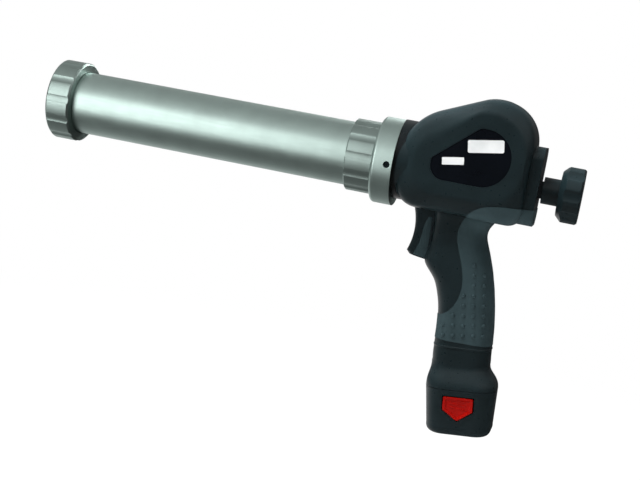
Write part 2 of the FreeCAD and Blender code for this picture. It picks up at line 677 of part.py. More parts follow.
def gear(label, teeth, module, low, wide, bore, x, z, tooth_angle):
    """Spur gear about a cross axis, with one tooth pointing along tooth_angle of the XZ plane."""
    pitch_r = "(%s * %s / 2)" % (module, teeth)
    root_r = "(%s - %s * dedendum_share)" % (pitch_r, module)
    tip_r = "(%s + %s * addendum_share)" % (pitch_r, module)
    half = "(%s * (pi / 2 - backlash_share) / 2)" % module
    tip_half = "(%s - %s * addendum_share * tan(flank_angle))" % (half, module)
    body = new_body(label)
    disc = circle_sketch(body, label + "_disc", "XZ_Plane", (("0", "0", root_r), ("0", "0", bore)))
    pad(body, label + "_hub", disc, wide, back=True)
    sink = "(%s - %s * (dedendum_share + 1 / 4))" % (pitch_r, module)
    tooth = outline_sketch(body, label + "_tooth", "XZ_Plane", (
        ("-%s * root_share" % half, sink),
        ("%s * root_share" % half, sink),
        (half, pitch_r),
        (tip_half, tip_r),
        ("-" + tip_half, tip_r),
        ("-" + half, pitch_r),
    ))
    one = pad(body, label + "_one", tooth, wide, back=True)
    around(body, label + "_teeth", one, tooth, teeth)
    place(body, "%s + %s" % (HEAD_X, x), low, z, "90 - (%s)" % tooth_angle)
    node(body, label)


def gears():
    """Rack pinion, two reduction pairs and their shafts."""
    gear("rack_pinion", "pinion_teeth", "rack_module", "-pinion_half", "2 * pinion_half",
         "pinion_shaft_r", "pinion_x", PINION_Z, "-90")
    gear("final_gear", "final_teeth", "final_module", "final_low", "final_wide",
         "pinion_shaft_r", "pinion_x", PINION_Z, "idler_angle")
    gear("idler_pinion", "idler_teeth", "final_module", "final_low", "final_wide",
         "idler_shaft_r", IDLER_X, IDLER_Z, "idler_angle + 180 + 180 / idler_teeth")
    gear("idler_wheel", "wheel_teeth", "first_module", "first_low", "first_wide",
         "idler_shaft_r", IDLER_X, IDLER_Z, "motor_angle")
    gear("motor_pinion", "output_teeth", "first_module", "first_low", "first_wide",
         "output_shaft_r", MOTOR_X, MOTOR_Z, "motor_angle + 180 + 180 / output_teeth")
    low = "(-left_plate_y - plate_thick)"
    high = "(right_plate_y + plate_thick)"
    spun("pinion_shaft", ring_corners("0", "pinion_shaft_r", low, high), "pinion_x", PINION_Z)
    spun("idler_shaft", ring_corners("0", "idler_shaft_r", low, high), IDLER_X, IDLER_Z)
    spun("output_shaft", ring_corners("0", "output_shaft_r", GEARHEAD_Y, high), MOTOR_X, MOTOR_Z)


def motor():
    """Closed gearmotor: end cap, can and gearhead in one line across the head."""
    joint = "(%s - gearhead_len)" % GEARHEAD_Y
    rear = "(%s - motor_len)" % joint
    spun("gearhead_case", (
        ("0", joint),
        ("gearhead_r", joint),
        ("gearhead_r", GEARHEAD_Y),
        ("0", GEARHEAD_Y),
    ), MOTOR_X, MOTOR_Z)
    spun("motor_can", (("0", rear), ("motor_r", rear), ("motor_r", joint), ("0", joint)), MOTOR_X, MOTOR_Z)
    spun("motor_cap", (
        ("0", "%s - motor_cap_len" % rear),
        ("motor_cap_r", "%s - motor_cap_len" % rear),
        ("motor_cap_r", rear),
        ("0", rear),
    ), MOTOR_X, MOTOR_Z)


def plate(label, corners, face, back, holes):
    """Flat steel gear plate with bored holes for its bushes; face is the far side from the mid plane."""
    body = new_body(label)
    sketch = outline_sketch(body, label + "_outline", "XZ_Plane", corners)
    sketch.setExpression("AttachmentOffset.Base.z", bound(face))
    flat = pad(body, label + "_pad", sketch, "plate_thick", back=back)
    dress(body, "Fillet", label + "_corners", flat, crosswise("plate_thick"), "plate_corner")
    bores = circle_sketch(body, label + "_circles", "XZ_Plane", holes)
    pocket(body, label + "_bores", bores)
    head_place(body)
    node(body, label)


def gear_plates():
    low = "-pillar_low - pillar_r - plate_margin"
    front = "pillar_front_x - pillar_r - plate_margin"
    rear = "pillar_rear_x + pillar_r + plate_margin"
    idler_room = "(idler_shaft_r + fit_gap + bush_wall + plate_margin)"
    motor_room = "(standoff_ring + standoff_r + plate_margin)"
    start = (
        ("pinion_x - pillar_r", "%s + pinion_shaft_r + pillar_r" % PINION_Z),
        (front, "pillar_low"),
        (front, low),
        (rear, low),
    )
    left = start + (
        ("%s + %s" % (IDLER_X, idler_room), "%s + %s" % (IDLER_Z, idler_room)),
        ("%s - %s" % (IDLER_X, idler_room), "%s + %s" % (IDLER_Z, idler_room)),
    )
    right = start + (
        ("%s + standoff_ring / 2" % MOTOR_X, "%s - %s" % (MOTOR_Z, motor_room)),
        ("%s + %s" % (MOTOR_X, motor_room), MOTOR_Z),
        ("%s + standoff_r + plate_margin" % MOTOR_X, "%s + %s" % (MOTOR_Z, motor_room)),
        ("%s - standoff_ring" % MOTOR_X, "%s + %s" % (MOTOR_Z, motor_room)),
        ("%s - %s" % (IDLER_X, idler_room), "%s + %s" % (IDLER_Z, idler_room)),
    )
    seat = "%s + fit_gap + bush_wall"
    holes = (
        ("pinion_x", PINION_Z, seat % "pinion_shaft_r"),
        (IDLER_X, IDLER_Z, seat % "idler_shaft_r"),
    )
    output = ((MOTOR_X, MOTOR_Z, seat % "output_shaft_r"),)
    plate("gear_plate_left", left, "left_plate_y", False, holes)
    plate("gear_plate_right", right, "-right_plate_y", True, holes + output)


def cross_rod(name, x, z, radius, low, high):
    """A round rod along Y between two distances from the mid plane."""
    rod = doc.addObject("Part::Cylinder", name)
    rod.setExpression("Radius", bound(radius))
    rod.setExpression("Height", bound("(%s) - (%s)" % (high, low)))
    rod.Placement = FreeCAD.Placement(Vector(), FreeCAD.Rotation(Vector(0, 0, 1), Vector(0, 1, 0)))
    place(rod, "%s + %s" % (HEAD_X, x), low, z)
    return rod


def bundle(label, pieces):
    """Separate solids that share one node."""
    group = doc.addObject("Part::Compound", label)
    group.Links = pieces
    node(group, label)


def bush(name, x, z, shaft_r, side):
    """Flanged bearing bush in a gear plate; side is -1 for the left plate and 1 for the right one."""
    face = "left_plate_y" if side < 0 else "right_plate_y"
    levels = ("-%s - plate_thick", "-%s") if side < 0 else ("%s", "%s + plate_thick")
    rim = ("-%s", "-%s + bush_flange") if side < 0 else ("%s - bush_flange", "%s")
    low, high = (text % face for text in levels)
    rim_low, rim_high = (text % face for text in rim)
    outer = "%s + fit_gap + bush_wall" % shaft_r
    sleeve = cross_rod(name + "_sleeve", x, z, outer, low, high)
    flange = cross_rod(name + "_flange", x, z, outer + " + bush_flange", rim_low, rim_high)
    solid = doc.addObject("Part::Fuse", name + "_solid")
    solid.Base = sleeve
    solid.Tool = flange
    reach = "right_plate_y + plate_thick + overrun"
    bore = cross_rod(name + "_bore", x, z, shaft_r + " + fit_gap", "-(%s)" % reach, reach)
    finished = doc.addObject("Part::Cut", name)
    finished.Base = solid
    finished.Tool = bore
    return finished


def gear_frame():
    """Plates, pillars, bushes, motor standoffs and the shoe that backs the rack."""
    gear_plates()
    for name, x, z, shaft_r in (("pinion", "pinion_x", PINION_Z, "pinion_shaft_r"),
                                ("idler", IDLER_X, IDLER_Z, "idler_shaft_r")):
        left = bush("left_%s_bush" % name, x, z, shaft_r, -1)
        right = bush("right_%s_bush" % name, x, z, shaft_r, 1)
        bundle(name + "_bushes", [left, right])
    node(bush("output_bush", MOTOR_X, MOTOR_Z, "output_shaft_r", 1), "output_bush")
    pillars = (
        ("pillar_front_x", "-pillar_low"),
        ("pillar_rear_x", "-pillar_low"),
        ("pillar_top_x", "pillar_top_z"),
    )
    rods = []
    for index, (x, z) in enumerate(pillars):
        rods.append(cross_rod("pillar%d" % index, x, z, "pillar_r", "-left_plate_y", "right_plate_y"))
    bundle("frame_pillars", rods)
    rods = []
    for index, turn in enumerate((-90, 0, 90)):
        x = "%s + standoff_ring * cos(motor_angle + %d)" % (MOTOR_X, turn)
        z = "%s + standoff_ring * sin(motor_angle + %d)" % (MOTOR_Z, turn)
        rods.append(cross_rod("standoff%d" % index, x, z, "standoff_r", GEARHEAD_Y, "right_plate_y"))
    bundle("motor_standoffs", rods)
    body = new_body("rod_shoe")
    block = outline_sketch(body, "shoe_outline", "XZ_Plane", (
        ("pillar_front_x - shoe_over", "%s - shoe_high" % SHOE_TOP),
        ("pillar_rear_x + shoe_over", "%s - shoe_high" % SHOE_TOP),
        ("pillar_rear_x + shoe_over", SHOE_TOP),
        ("pillar_front_x - shoe_over", SHOE_TOP),
    ))
    pad(body, "shoe_block", block, "2 * shoe_half", both=True)
    seats = circle_sketch(body, "shoe_seats", "XZ_Plane", [(x, z, "pillar_r") for x, z in pillars[:2]])
    pocket(body, "shoe_bores", seats)
    head_place(body)
    node(body, "rod_shoe")


def trigger():
    """Trigger that slides into the grip, with a hollow for the finger, and its switch."""
    body = new_body("trigger")
    sketch = new_sketch(body, "trigger_outline", "XZ_Plane")
    corners = (
        ("trigger_front", "-trigger_top"),
        ("trigger_tip_x", "-trigger_tip_z"),
        ("trigger_tip_x + trigger_nib", "-trigger_low + trigger_nib"),
        ("trigger_rear", "-trigger_low"),
        ("trigger_rear", "-trigger_top"),
    )
    points = [Vector(value(across), value(up), 0) for across, up in corners]
    hollow = Vector(value("trigger_hollow_x"), value("-trigger_hollow_z"), 0)
    curve = Part.Arc(points[0], hollow, points[1]).toShape().Curve
    spokes = [point - curve.Center for point in (points[1], points[0])]
    angles = [math.atan2(spoke.y, spoke.x) for spoke in spokes]
    circle = Part.Circle(curve.Center, Vector(0, 0, 1), curve.Radius)
    sketch.addGeometry(Part.ArcOfCircle(circle, *angles))
    count = len(points)
    for index in range(1, count):
        sketch.addGeometry(Part.LineSegment(points[index], points[(index + 1) % count]))
    sketch.addConstraint(Sketcher.Constraint("Coincident", 0, 1, 1, 1))
    for index in range(1, count - 1):
        sketch.addConstraint(Sketcher.Constraint("Coincident", index, 2, index + 1, 1))
    sketch.addConstraint(Sketcher.Constraint("Coincident", count - 1, 2, 0, 2))
    fix_point(sketch, 0, 2, *corners[0], points[0])
    for index in range(1, count):
        fix_point(sketch, index, 1, *corners[index], points[index])
    finger = sketch.addGeometry(Part.Point(hollow), True)
    fix_point(sketch, finger, 1, "trigger_hollow_x", "-trigger_hollow_z", hollow)
    sketch.addConstraint(Sketcher.Constraint("PointOnObject", finger, 1, 0))
    block = pad(body, "trigger_block", sketch, "2 * trigger_half", both=True)

    rounding = value("trigger_nib")
    reach = value("trigger_hollow_x + trigger_nib")

    def front_edge(edge):
        box = edge.BoundBox
        return box.YLength < FINE and box.XMax < reach and box.ZLength > rounding

    dress(body, "Fillet", "trigger_rounding", block, front_edge, "trigger_edge")
    head_place(body)
    node(body, "trigger")
    middle = "(-switch_drop - switch_high / 2)"
    start = "(trigger_rear + trigger_travel + trigger_gap)"
    body = new_body("switch_plunger")
    rod = circle_sketch(body, "plunger_circle", "YZ_Plane", (("0", middle, "plunger_r"),))
    rod.setExpression("AttachmentOffset.Base.z", bound("trigger_rear"))
    pad(body, "plunger_pad", rod, "%s + plunger_into - trigger_rear" % start)
    head_place(body)
    node(body, "switch_plunger")
    body = new_body("trigger_switch")
    case = outline_sketch(body, "switch_outline", "XZ_Plane", (
        (start, "-switch_drop - switch_high"),
        ("%s + switch_long" % start, "-switch_drop - switch_high"),
        ("%s + switch_long" % start, "-switch_drop"),
        (start, "-switch_drop"),
    ))
    pad(body, "switch_case", case, "2 * switch_half", both=True)
    bore = circle_sketch(body, "switch_bore_circle", "YZ_Plane", (("0", middle, "plunger_r + rod_gap"),))
    bore.setExpression("AttachmentOffset.Base.z", bound(start))
    pocket(body, "switch_bore", bore, "plunger_into + trigger_travel + trigger_gap", back=True)
    head_place(body)
    node(body, "trigger_switch")


def rounded(corners, radii, put):
    """A closed wire round a convex outline, each corner an arc; put turns (across, up) into a point."""
    flat = [Vector(across, up, 0) for across, up in corners]
    count = len(flat)
    arcs = []
    for index in range(count):
        middle = flat[index]
        before = (flat[index - 1] - middle).normalize()
        after = (flat[(index + 1) % count] - middle).normalize()
        half = before.getAngle(after) / 2
        inward = (before + after).normalize()
        reach = radii[index] / math.tan(half)
        crown = middle + inward * (radii[index] / math.sin(half) - radii[index])
        bend = (middle + before * reach, crown, middle + after * reach)
        arcs.append([put(point.x, point.y) for point in bend])
    edges = []
    for index in range(count):
        edges.append(Part.Arc(*arcs[index]).toShape())
        edges.append(Part.LineSegment(arcs[index][2], arcs[(index + 1) % count][0]).toShape())
    return Part.Wire(edges)


def inset(corners, distance):
    """The outline with every side moved inward; the corners run against the clock."""
    count = len(corners)
    sides = []
    for index in range(count):
        start = Vector(*corners[index], 0)
        along = (Vector(*corners[(index + 1) % count], 0) - start).normalize()
        sides.append((start + Vector(-along.y, along.x, 0) * distance, along))
    moved = []
    for index in range(count):
        (first, along), (second, other) = sides[index - 1], sides[index]
        gap = second - first
        share = (gap.x * other.y - gap.y * other.x) / (along.x * other.y - along.y * other.x)
        moved.append((first.x + along.x * share, first.y + along.y * share))
    return moved


def in_side_plane(y):
    return lambda across, up: Vector(across, y, up)


# Section of the head across the tool, from the middle to the flat side face: share of the way from
# the outline of the crown to the outline of the side face, and share of the half width.
HEAD_SHARES = (
    (0.000, 0.00),
    (0.000, 0.25),
    (0.010, 0.50),
    (0.090, 0.73),
    (0.330, 0.885),
    (0.650, 0.965),
    (1.000, 1.00),
)
LOFT_DEGREE = 3


def head_outlines():
    """Side outlines of the head, as (corners, radii): the crown's and the flat side face's."""
    nose = value("head_top - (head_slope_x - head_front) * tan(head_slope)")
    crown = (
        (value("head_front"), value("-head_drop")),
        (value("head_rear"), value("-head_drop")),
        (value("head_rear"), value("head_top")),
        (value("head_slope_x"), value("head_top")),
        (value("head_front"), nose),
    )
    crown_names = ("head_chin_r", "head_low_r", "bulb_r", "bulb_r", "head_nose_r")
    face = (
        (value("face_front"), value("-face_drop")),
        (value("face_rear"), value("-face_drop")),
        (value("face_rear"), value("face_top")),
        (value("face_slope_x"), value("face_top")),
        (value("face_front"), value("face_nose")),
    )
    face_names = ("face_low_r", "face_rear_r", "face_rear_r", "face_slope_r", "face_nose_r")
    return (crown, [value(name) for name in crown_names]), (face, [value(name) for name in face_names])


def head_shell(skin):
    """The head's solid, every surface moved inward by skin."""
    (crown, crown_radii), (face, face_radii) = head_outlines()
    half = value("face_y") - skin
    levels = [(share, -out) for share, out in HEAD_SHARES[:0:-1]] + list(HEAD_SHARES)
    wires = []
    for share, out in levels:
        corners = [(a + (c - a) * share, b + (d - b) * share) for (a, b), (c, d) in zip(crown, face)]
        radii = [a + (b - a) * share - skin for a, b in zip(crown_radii, face_radii)]
        wires.append(rounded(inset(corners, skin), radii, in_side_plane(out * half)))
    return Part.makeLoft(wires, True, False, False, LOFT_DEGREE)


def neck_shell(skin, front):
    """Round neck that carries the collar, from front into the head."""
    length = value("head_front + neck_into") - front
    middle = Vector(front, 0, value("neck_rise"))
    return Part.makeCylinder(value("neck_r") - skin, length, middle, Vector(1, 0, 0))


def tail_shell(skin, rear):
    """Rear end of the head around the push rod."""
    half = value("tail_half")
    low, high = value("-tail_drop"), value("tail_rise")
    corners = ((-half, low), (half, low), (half, high), (-half, high))
    radii = [value("tail_r") - skin] * len(corners)
    wire = rounded(inset(corners, skin), radii, lambda across, up: Vector(value("tail_x"), across, up))
    return Part.Face(wire).extrude(Vector(rear - value("tail_x"), 0, 0))


# Grip sections from the head down: drop and front and back edge in shares of the grip's drop and
# depth, half width and corner in shares of the grip's half width and corner radius.
GRIP_SHARES = (
    (0.12, -0.42, 0.68, 1.15, 1.00),
    (0.16, -0.41, 0.64, 1.125, 1.00),
    (0.20, -0.40, 0.595, 1.10, 1.00),
    (0.24, -0.39, 0.54, 1.075, 1.00),
    (0.28, -0.385, 0.50, 1.05, 1.00),
    (0.32, -0.385, 0.523, 1.025, 1.00),
    (0.36, -0.39, 0.576, 1.00, 1.00),
    (0.40, -0.40, 0.627, 1.00, 1.00),
    (0.44, -0.42, 0.674, 1.00, 1.00),
    (0.48, -0.42, 0.717, 1.00, 1.00),
    (0.52, -0.33, 0.753, 1.00, 1.00),
    (0.56, -0.22, 0.789, 1.00, 1.00),
    (0.60, -0.153, 0.818, 1.00, 1.00),
    (0.64, -0.107, 0.846, 1.00, 1.00),
    (0.68, -0.070, 0.870, 1.00, 1.00),
    (0.72, -0.044, 0.891, 1.00, 1.00),
    (0.76, -0.028, 0.910, 1.00, 1.00),
    (0.80, -0.017, 0.924, 1.00, 1.00),
    (0.84, -0.010, 0.937, 1.00, 1.00),
    (0.88, -0.005, 0.950, 1.00, 1.00),
    (0.92, 0.002, 0.962, 1.00, 1.00),
    (0.96, 0.012, 0.974, 1.00, 1.00),
    (1.00, 0.024, 0.990, 1.00, 1.00),
)


def grip_shell(skin):
    """The grip's solid as a loft through level sections."""
    wires = []
    for drop, front, back, wide, corner in GRIP_SHARES:
        low = value("grip_x") + front * value("grip_depth")
        high = value("grip_x") + back * value("grip_depth")
        half = wide * value("grip_half")
        corners = inset(((low, -half), (high, -half), (high, half), (low, half)), skin)
        level = -drop * value("grip_drop")
        wires.append(rounded(corners, [corner * value("grip_corner") - skin] * 4,
                             lambda across, up, level=level: Vector(across, up, level)))
    return Part.makeLoft(wires, True, False, False, LOFT_DEGREE)


def level_wire(long, wide, shift, corner, level):
    """A rounded rectangle across the battery axis."""
    corners = (
        (shift - long / 2, -wide / 2),
        (shift + long / 2, -wide / 2),
        (shift + long / 2, wide / 2),
        (shift - long / 2, wide / 2),
    )
    return rounded(corners, [corner] * len(corners), lambda across, up: Vector(across, up, level))


def seam_frame():
    """Place of the battery axis in the head's coordinates."""
    lean = FreeCAD.Rotation(Vector(0, 1, 0), value("-grip_lean"))
    return FreeCAD.Placement(Vector(value("seam_x"), 0, value("-seam_drop")), lean)


# Sections of the lower flare from the grip down to the seam: height, and growth from the grip's
# outline to the foot's, both as shares.
FLARE_SHARES = (
    (1.000, -0.04),
    (0.857, 0.00),
    (0.714, 0.12),
    (0.571, 0.36),
    (0.429, 0.63),
    (0.286, 0.84),
    (0.143, 0.96),
    (0.000, 1.00),
)


def flare_shell(skin, low):
    """Lower end of the grip that widens to the battery foot, down to a level at the seam."""
    drop, front, back, wide, corner = GRIP_SHARES[-1]
    grip = (
        (back - front) * value("grip_depth") - 2 * skin,
        2 * (wide * value("grip_half") - skin),
        0,
        corner * value("grip_corner") - skin,
    )
    foot = (
        value("foot_long") - 2 * skin,
        value("foot_wide") - 2 * skin,
        value("foot_shift"),
        value("foot_corner") - skin,
    )
    wires = []
    for share, growth in FLARE_SHARES:
        section = [a + (b - a) * growth for a, b in zip(grip, foot)]
        wires.append(level_wire(*section, low + share * (value("flare_high") - low)))
    flare = Part.makeLoft(wires, True, False, False, LOFT_DEGREE)
    flare.Placement = seam_frame()
    return flare


def outer_solid():
    """The whole outline of the housing as one solid."""
    pieces = [neck_shell(0, 0), tail_shell(0, value("tail_rear")), grip_shell(0), flare_shell(0, 0)]
    return head_shell(0).multiFuse(pieces)


def inner_solid():
    """The room inside the housing, open at the lower end."""
    wall = value("wall")
    pieces = [
        neck_shell(wall, value("neck_wall")),
        tail_shell(wall, value("tail_rear - tail_wall")),
        grip_shell(wall),
        flare_shell(wall, -value("overrun")),
    ]
    return head_shell(wall).multiFuse(pieces)


def rubber_solid(skin):
    """The stretch of the outline that the grip rubber covers, moved inward by skin."""
    return grip_shell(skin).multiFuse([tail_shell(skin, value("tail_rear") - skin), head_shell(skin)])


# Upper and front edge of the grip rubber, from the tail round to the front of the grip, in shares of
# the grip's depth behind its front edge and of its drop.
RUBBER_EDGE_SHARES = (
    (1.30, 0.100),
    (0.66, 0.118),
    (0.30, 0.155),
    (0.07, 0.277),
    (0.19, 0.426),
    (0.30, 0.580),
    (0.18, 0.693),
    (-0.40, 0.722),
)
RUBBER_LOW_SHARES = ((-0.40, 0.868), (1.40, 0.845))


def reach():
    """A length that passes the whole housing on every side."""
    return value("tail_rear + seam_drop")


def rubber_region():
    """A block across the housing that holds everything inside the edge of the grip rubber."""
    def spot(shares):
        along, down = shares
        return Vector(value("grip_x") + along * value("grip_depth"), -reach(), -down * value("grip_drop"))
    edge = [spot(shares) for shares in RUBBER_EDGE_SHARES]
    low = [spot(shares) for shares in RUBBER_LOW_SHARES]
    curve = Part.BSplineCurve()
    curve.interpolate(edge)
    corners = [edge[-1]] + low + [edge[0]]
    sides = [Part.LineSegment(a, b).toShape() for a, b in zip(corners, corners[1:])]
    face = Part.Face(Part.Wire([curve.toShape()] + sides))
    return face.extrude(Vector(0, 2 * reach(), 0))


def half_block(side):
    """A block round one half of the housing; side is -1 for the left half and 1 for the right one."""
    size = reach()
    return Part.makeBox(2 * size, size, 2 * size, Vector(-size, min(side, 0) * size, -size))


def bar(x, z, radius, low, high):
    return Part.makeCylinder(radius, high - low, Vector(x, low, z), Vector(0, 1, 0))


def bolt_places():
    """Screw axes of the housing, in the head's coordinates."""
    spots = (
        ("bolt_front_x", "-bolt_front_drop"),
        ("bolt_roof_x", "bolt_roof_z"),
        ("bolt_dome_x", "bolt_dome_z"),
        ("bolt_tail_x", "-bolt_tail_drop"),
        ("bolt_grip_x", "-bolt_grip_drop"),
    )
    return [(value(x), value(z)) for x, z in spots]


def holders(side):
    """Bosses and ribs inside one half that carry the gear frame, the switch and the contact block."""
    def outward(low, high):
        return (low, high) if side > 0 else (-high, -low)
    size = reach()
    pieces = [bar(x, z, value("boss_r"), *outward(0, size)) for x, z in bolt_places()]
    seat = value("right_plate_y + plate_thick") if side > 0 else value("left_plate_y + plate_thick")
    for x, z in (("pillar_front_x", "-pillar_low"), ("pillar_rear_x", "-pillar_low")):
        pieces.append(bar(value(x), value(z), value("pillar_r"), *outward(seat, size)))
    rib = value("rib_thick")
    start = value("trigger_rear + trigger_travel + trigger_gap + switch_long / 2") - rib / 2
    low, high = outward(value("switch_half + rib_gap"), size)
    corner = Vector(start, low, value("-switch_drop - switch_high"))
    pieces.append(Part.makeBox(rib, high - low, value("switch_high"), corner))
    low, high = outward(value("block_half + rib_gap"), size)
    shelf = Part.makeBox(rib, high - low, value("block_high"), Vector(-rib / 2, low, block_low()))
    shelf.Placement = seam_frame()
    pieces.append(shelf)
    return pieces


def block_low():
    """Height of the contact block over the seam."""
    return value("cell_len - foot_high + stem_gap + stem_top + block_gap")


def shaped(label, shape, put):
    """A piece with a directly made shape, placed like its neighbours."""
    piece = doc.addObject("Part::Feature", label)
    piece.Shape = shape
    put(piece)
    return node(piece, label)


def one_solid(shape):
    return shape.Solids[0] if len(shape.Solids) == 1 else shape


def housing():
    """Two moulded halves, the rubber on the grip, the blank label and the housing screws."""
    region = rubber_region()
    floor = rubber_solid(value("pad_deep"))
    room = inner_solid().cut(holders(-1) + holders(1))
    over = value("overrun")
    crown, (face, face_radii) = head_outlines()

    def label_block(margin, low, high):
        radii = [max(radius - margin, value("label_corner")) for radius in face_radii]
        wire = rounded(inset(face, margin), radii, in_side_plane(-high))
        return Part.Face(wire).extrude(Vector(0, high - low, 0))

    def axis_bore(name, low, high):
        return Part.makeCylinder(value(name), high - low, Vector(low, 0, 0), Vector(1, 0, 0))

    slot_half = value("trigger_half + trigger_gap")
    slot_high = value("trigger_low - trigger_top + 2 * trigger_gap")
    slot_corner = Vector(value("trigger_gap"), -slot_half, value("-trigger_low - trigger_gap"))
    cuts = [
        room,
        region.cut(floor),
        axis_bore("pilot_r", -over, value("neck_wall") + over),
        axis_bore("rear_guide_r", value("tail_rear - tail_wall") - over, value("tail_rear") + over),
        Part.makeBox(value("trigger_rear + trigger_travel"), 2 * slot_half, slot_high, slot_corner),
        label_block(value("label_margin"), value("face_y - label_deep"), value("face_y") + over),
    ]
    shell = outer_solid().cut(cuts)
    for side, name in ((-1, "left"), (1, "right")):
        half = shell.common(half_block(side))
        for x, z in bolt_places():
            if side < 0:
                half = half.cut(bar(x, z, value("bolt_r"), -value("bolt_into"), over))
            else:
                half = half.cut(bar(x, z, value("bolt_r + bolt_gap"), -over, reach()))
                half = half.cut(bar(x, z, value("bolt_head_r + bolt_gap"), value("bolt_seat"), reach()))
        shaped("housing_" + name, one_solid(half), head_place)
    rubber = region.common(rubber_solid(-value("pad_proud"))).cut(floor)
    for side, name in ((-1, "left"), (1, "right")):
        shaped("grip_rubber_" + name, one_solid(rubber.common(half_block(side))), head_place)
    low = value("face_y - label_deep")
    label = label_block(value("label_margin + label_gap"), low, low + value("label_thick"))
    shaped("side_label", label, head_place)
    screws = []
    for x, z in bolt_places():
        shank = bar(x, z, value("bolt_r"), -value("bolt_into"), value("bolt_seat"))
        head = bar(x, z, value("bolt_head_r"), value("bolt_seat"), value("bolt_seat + bolt_head_len"))
        screws.append(shank.fuse(head))
    shaped("housing_screws", Part.makeCompound(screws), head_place)


def cell_spots():
    spread = value("cell_r + cell_gap / 2")
    return (-spread, spread)


def upright(x, radius, low, high):
    return Part.makeCylinder(radius, high - low, Vector(x, 0, low), Vector(0, 0, 1))


LATCH_CORNERS = (
    ("foot_shift - latch_wide / 2 - %s", "-latch_drop + %s"),
    ("foot_shift - latch_wide / 2 - %s", "-latch_drop - latch_shoulder - %s / 2"),
    ("foot_shift", "-latch_drop - latch_high - %s"),
    ("foot_shift + latch_wide / 2 + %s", "-latch_drop - latch_shoulder - %s / 2"),
    ("foot_shift + latch_wide / 2 + %s", "-latch_drop + %s"),
)
LATCH_FACE = "(foot_wide / 2 - foot_taper / 2 + latch_proud)"


def latch_corners(gap):
    """Shield outline of a latch button, grown by a gap."""
    return [tuple(text % gap if "%s" in text else text for text in corner) for corner in LATCH_CORNERS]


def latch_button(label, side):
    """Push button on one side of the battery foot."""
    body = new_body(label)
    sketch = outline_sketch(body, label + "_outline", "XZ_Plane", latch_corners("0"))
    sketch.setExpression("AttachmentOffset.Base.z", bound("%s * %d" % (LATCH_FACE, -side)))
    block = pad(body, label + "_pad", sketch, "latch_thick", back=side < 0)
    dress(body, "Fillet", label + "_corners", block, crosswise("latch_thick"), "latch_corner")
    seam_place(body)
    node(body, label)


def foot_wire(level):
    """Outline of the battery foot at a level below the seam."""
    narrow = value("foot_taper") * min(-level / value("foot_high"), 1)
    return level_wire(value("foot_long") - 2 * narrow, value("foot_wide") - 2 * narrow, value("foot_shift"),
                      value("foot_corner") - narrow, level)


def battery():
    """Battery that plugs into the grip: foot and stem, cells, base plate, contacts and latch buttons."""
    bottom = -value("foot_high")
    cell_top = bottom + value("cell_len")
    stem_top = cell_top + value("stem_gap + stem_top")
    foot = Part.makeLoft([foot_wire(-value("foot_gap")), foot_wire(bottom)], True, True)
    stem_half = value("cell_r + cell_gap + stem_wall")
    stem_long = 2 * (stem_half + cell_spots()[1])
    corner = stem_half - value("stem_wall")
    stem = Part.Face(level_wire(stem_long, 2 * stem_half, 0, corner, -value("foot_gap + overrun")))
    stem = stem.extrude(Vector(0, 0, stem_top + value("foot_gap + overrun")))
    case = foot.fuse(stem)
    room_top = cell_top + value("stem_gap")
    for x in cell_spots():
        case = case.cut(upright(x, value("cell_r + cell_gap"), bottom - value("overrun"), room_top))
    pocket_floor = value("%s - latch_thick - latch_travel - latch_gap" % LATCH_FACE)
    shield = [(value(across), value(up)) for across, up in latch_corners("latch_gap")]
    for side in (-1, 1):
        corners = [Vector(across, side * pocket_floor, up) for across, up in shield + shield[:1]]
        well = Part.Face(Part.makePolygon(corners))
        case = case.cut(well.extrude(Vector(0, side * value("foot_wide"), 0)))
    shaped("battery_case", one_solid(case.removeSplitter()), seam_place)
    low = bottom - value("base_high")
    base = Part.makeLoft([foot_wire(bottom), foot_wire(low)], True, True)
    rim = [edge for edge in base.Edges if edge.BoundBox.ZMax < low + FINE]
    shaped("battery_base", base.makeFillet(value("base_round"), rim), seam_place)
    cells = [upright(x, value("cell_r"), bottom, cell_top) for x in cell_spots()]
    shaped("battery_cells", Part.makeCompound(cells), seam_place)
    blades = []
    thick, wide, high = (value("contact_" + name) for name in ("thick", "wide", "high"))
    for spot in (-value("contact_pitch") / 2, value("contact_pitch") / 2):
        blades.append(Part.makeBox(thick, wide, high, Vector(spot - thick / 2, -wide / 2, stem_top)))
    shaped("battery_contacts", Part.makeCompound(blades), seam_place)
    latch_button("latch_button_left", -1)
    latch_button("latch_button_right", 1)
    block = Part.makeBox(value("block_long"), 2 * value("block_half"), value("block_high"),
                         Vector(-value("block_long") / 2, -value("block_half"), block_low()))
    gap = value("block_gap")
    for blade in blades:
        box = blade.BoundBox
        slot = Part.makeBox(box.XLength + 2 * gap, box.YLength + 2 * gap, box.ZLength + gap,
                            Vector(box.XMin - gap, box.YMin - gap, box.ZMin))
        block = block.cut(slot)
    shaped("contact_block", one_solid(block), seam_place)


front_cap()
nozzle_ring()
barrel_tube()
barrel_nut()
collar()
rod_guide("rod_guide_front", "guide_r", "-" + SHOULDER, "(neck_wall + pilot_flange_len)")
rod_guide("rod_guide_rear", "rear_guide_r", "(tail_rear - rear_guide_len)", "tail_rear")
push_rod()
piston()
rod_knob()
gears()
motor()
gear_frame()
trigger()
housing()
battery()

doc.recompute()
failed = [piece.Name for piece in doc.Objects if "Invalid" in piece.State or "Error" in piece.State]
failed += [piece.Label for piece in NODES if piece.Shape.isNull() or not piece.Shape.isValid()]
if failed:
    raise SystemExit("not built: " + ", ".join(failed))
os.makedirs("parts", exist_ok=True)
for piece in NODES:
    piece.Shape.exportStep("parts/%s.step" % piece.Label)
    print(piece.Label, len(piece.Shape.Solids), round(piece.Shape.Volume, 1))
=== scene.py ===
import json
import math
from collections import namedtuple

import bpy
from bpy.props import FloatProperty, FloatVectorProperty, PointerProperty
from mathutils import Matrix, Vector

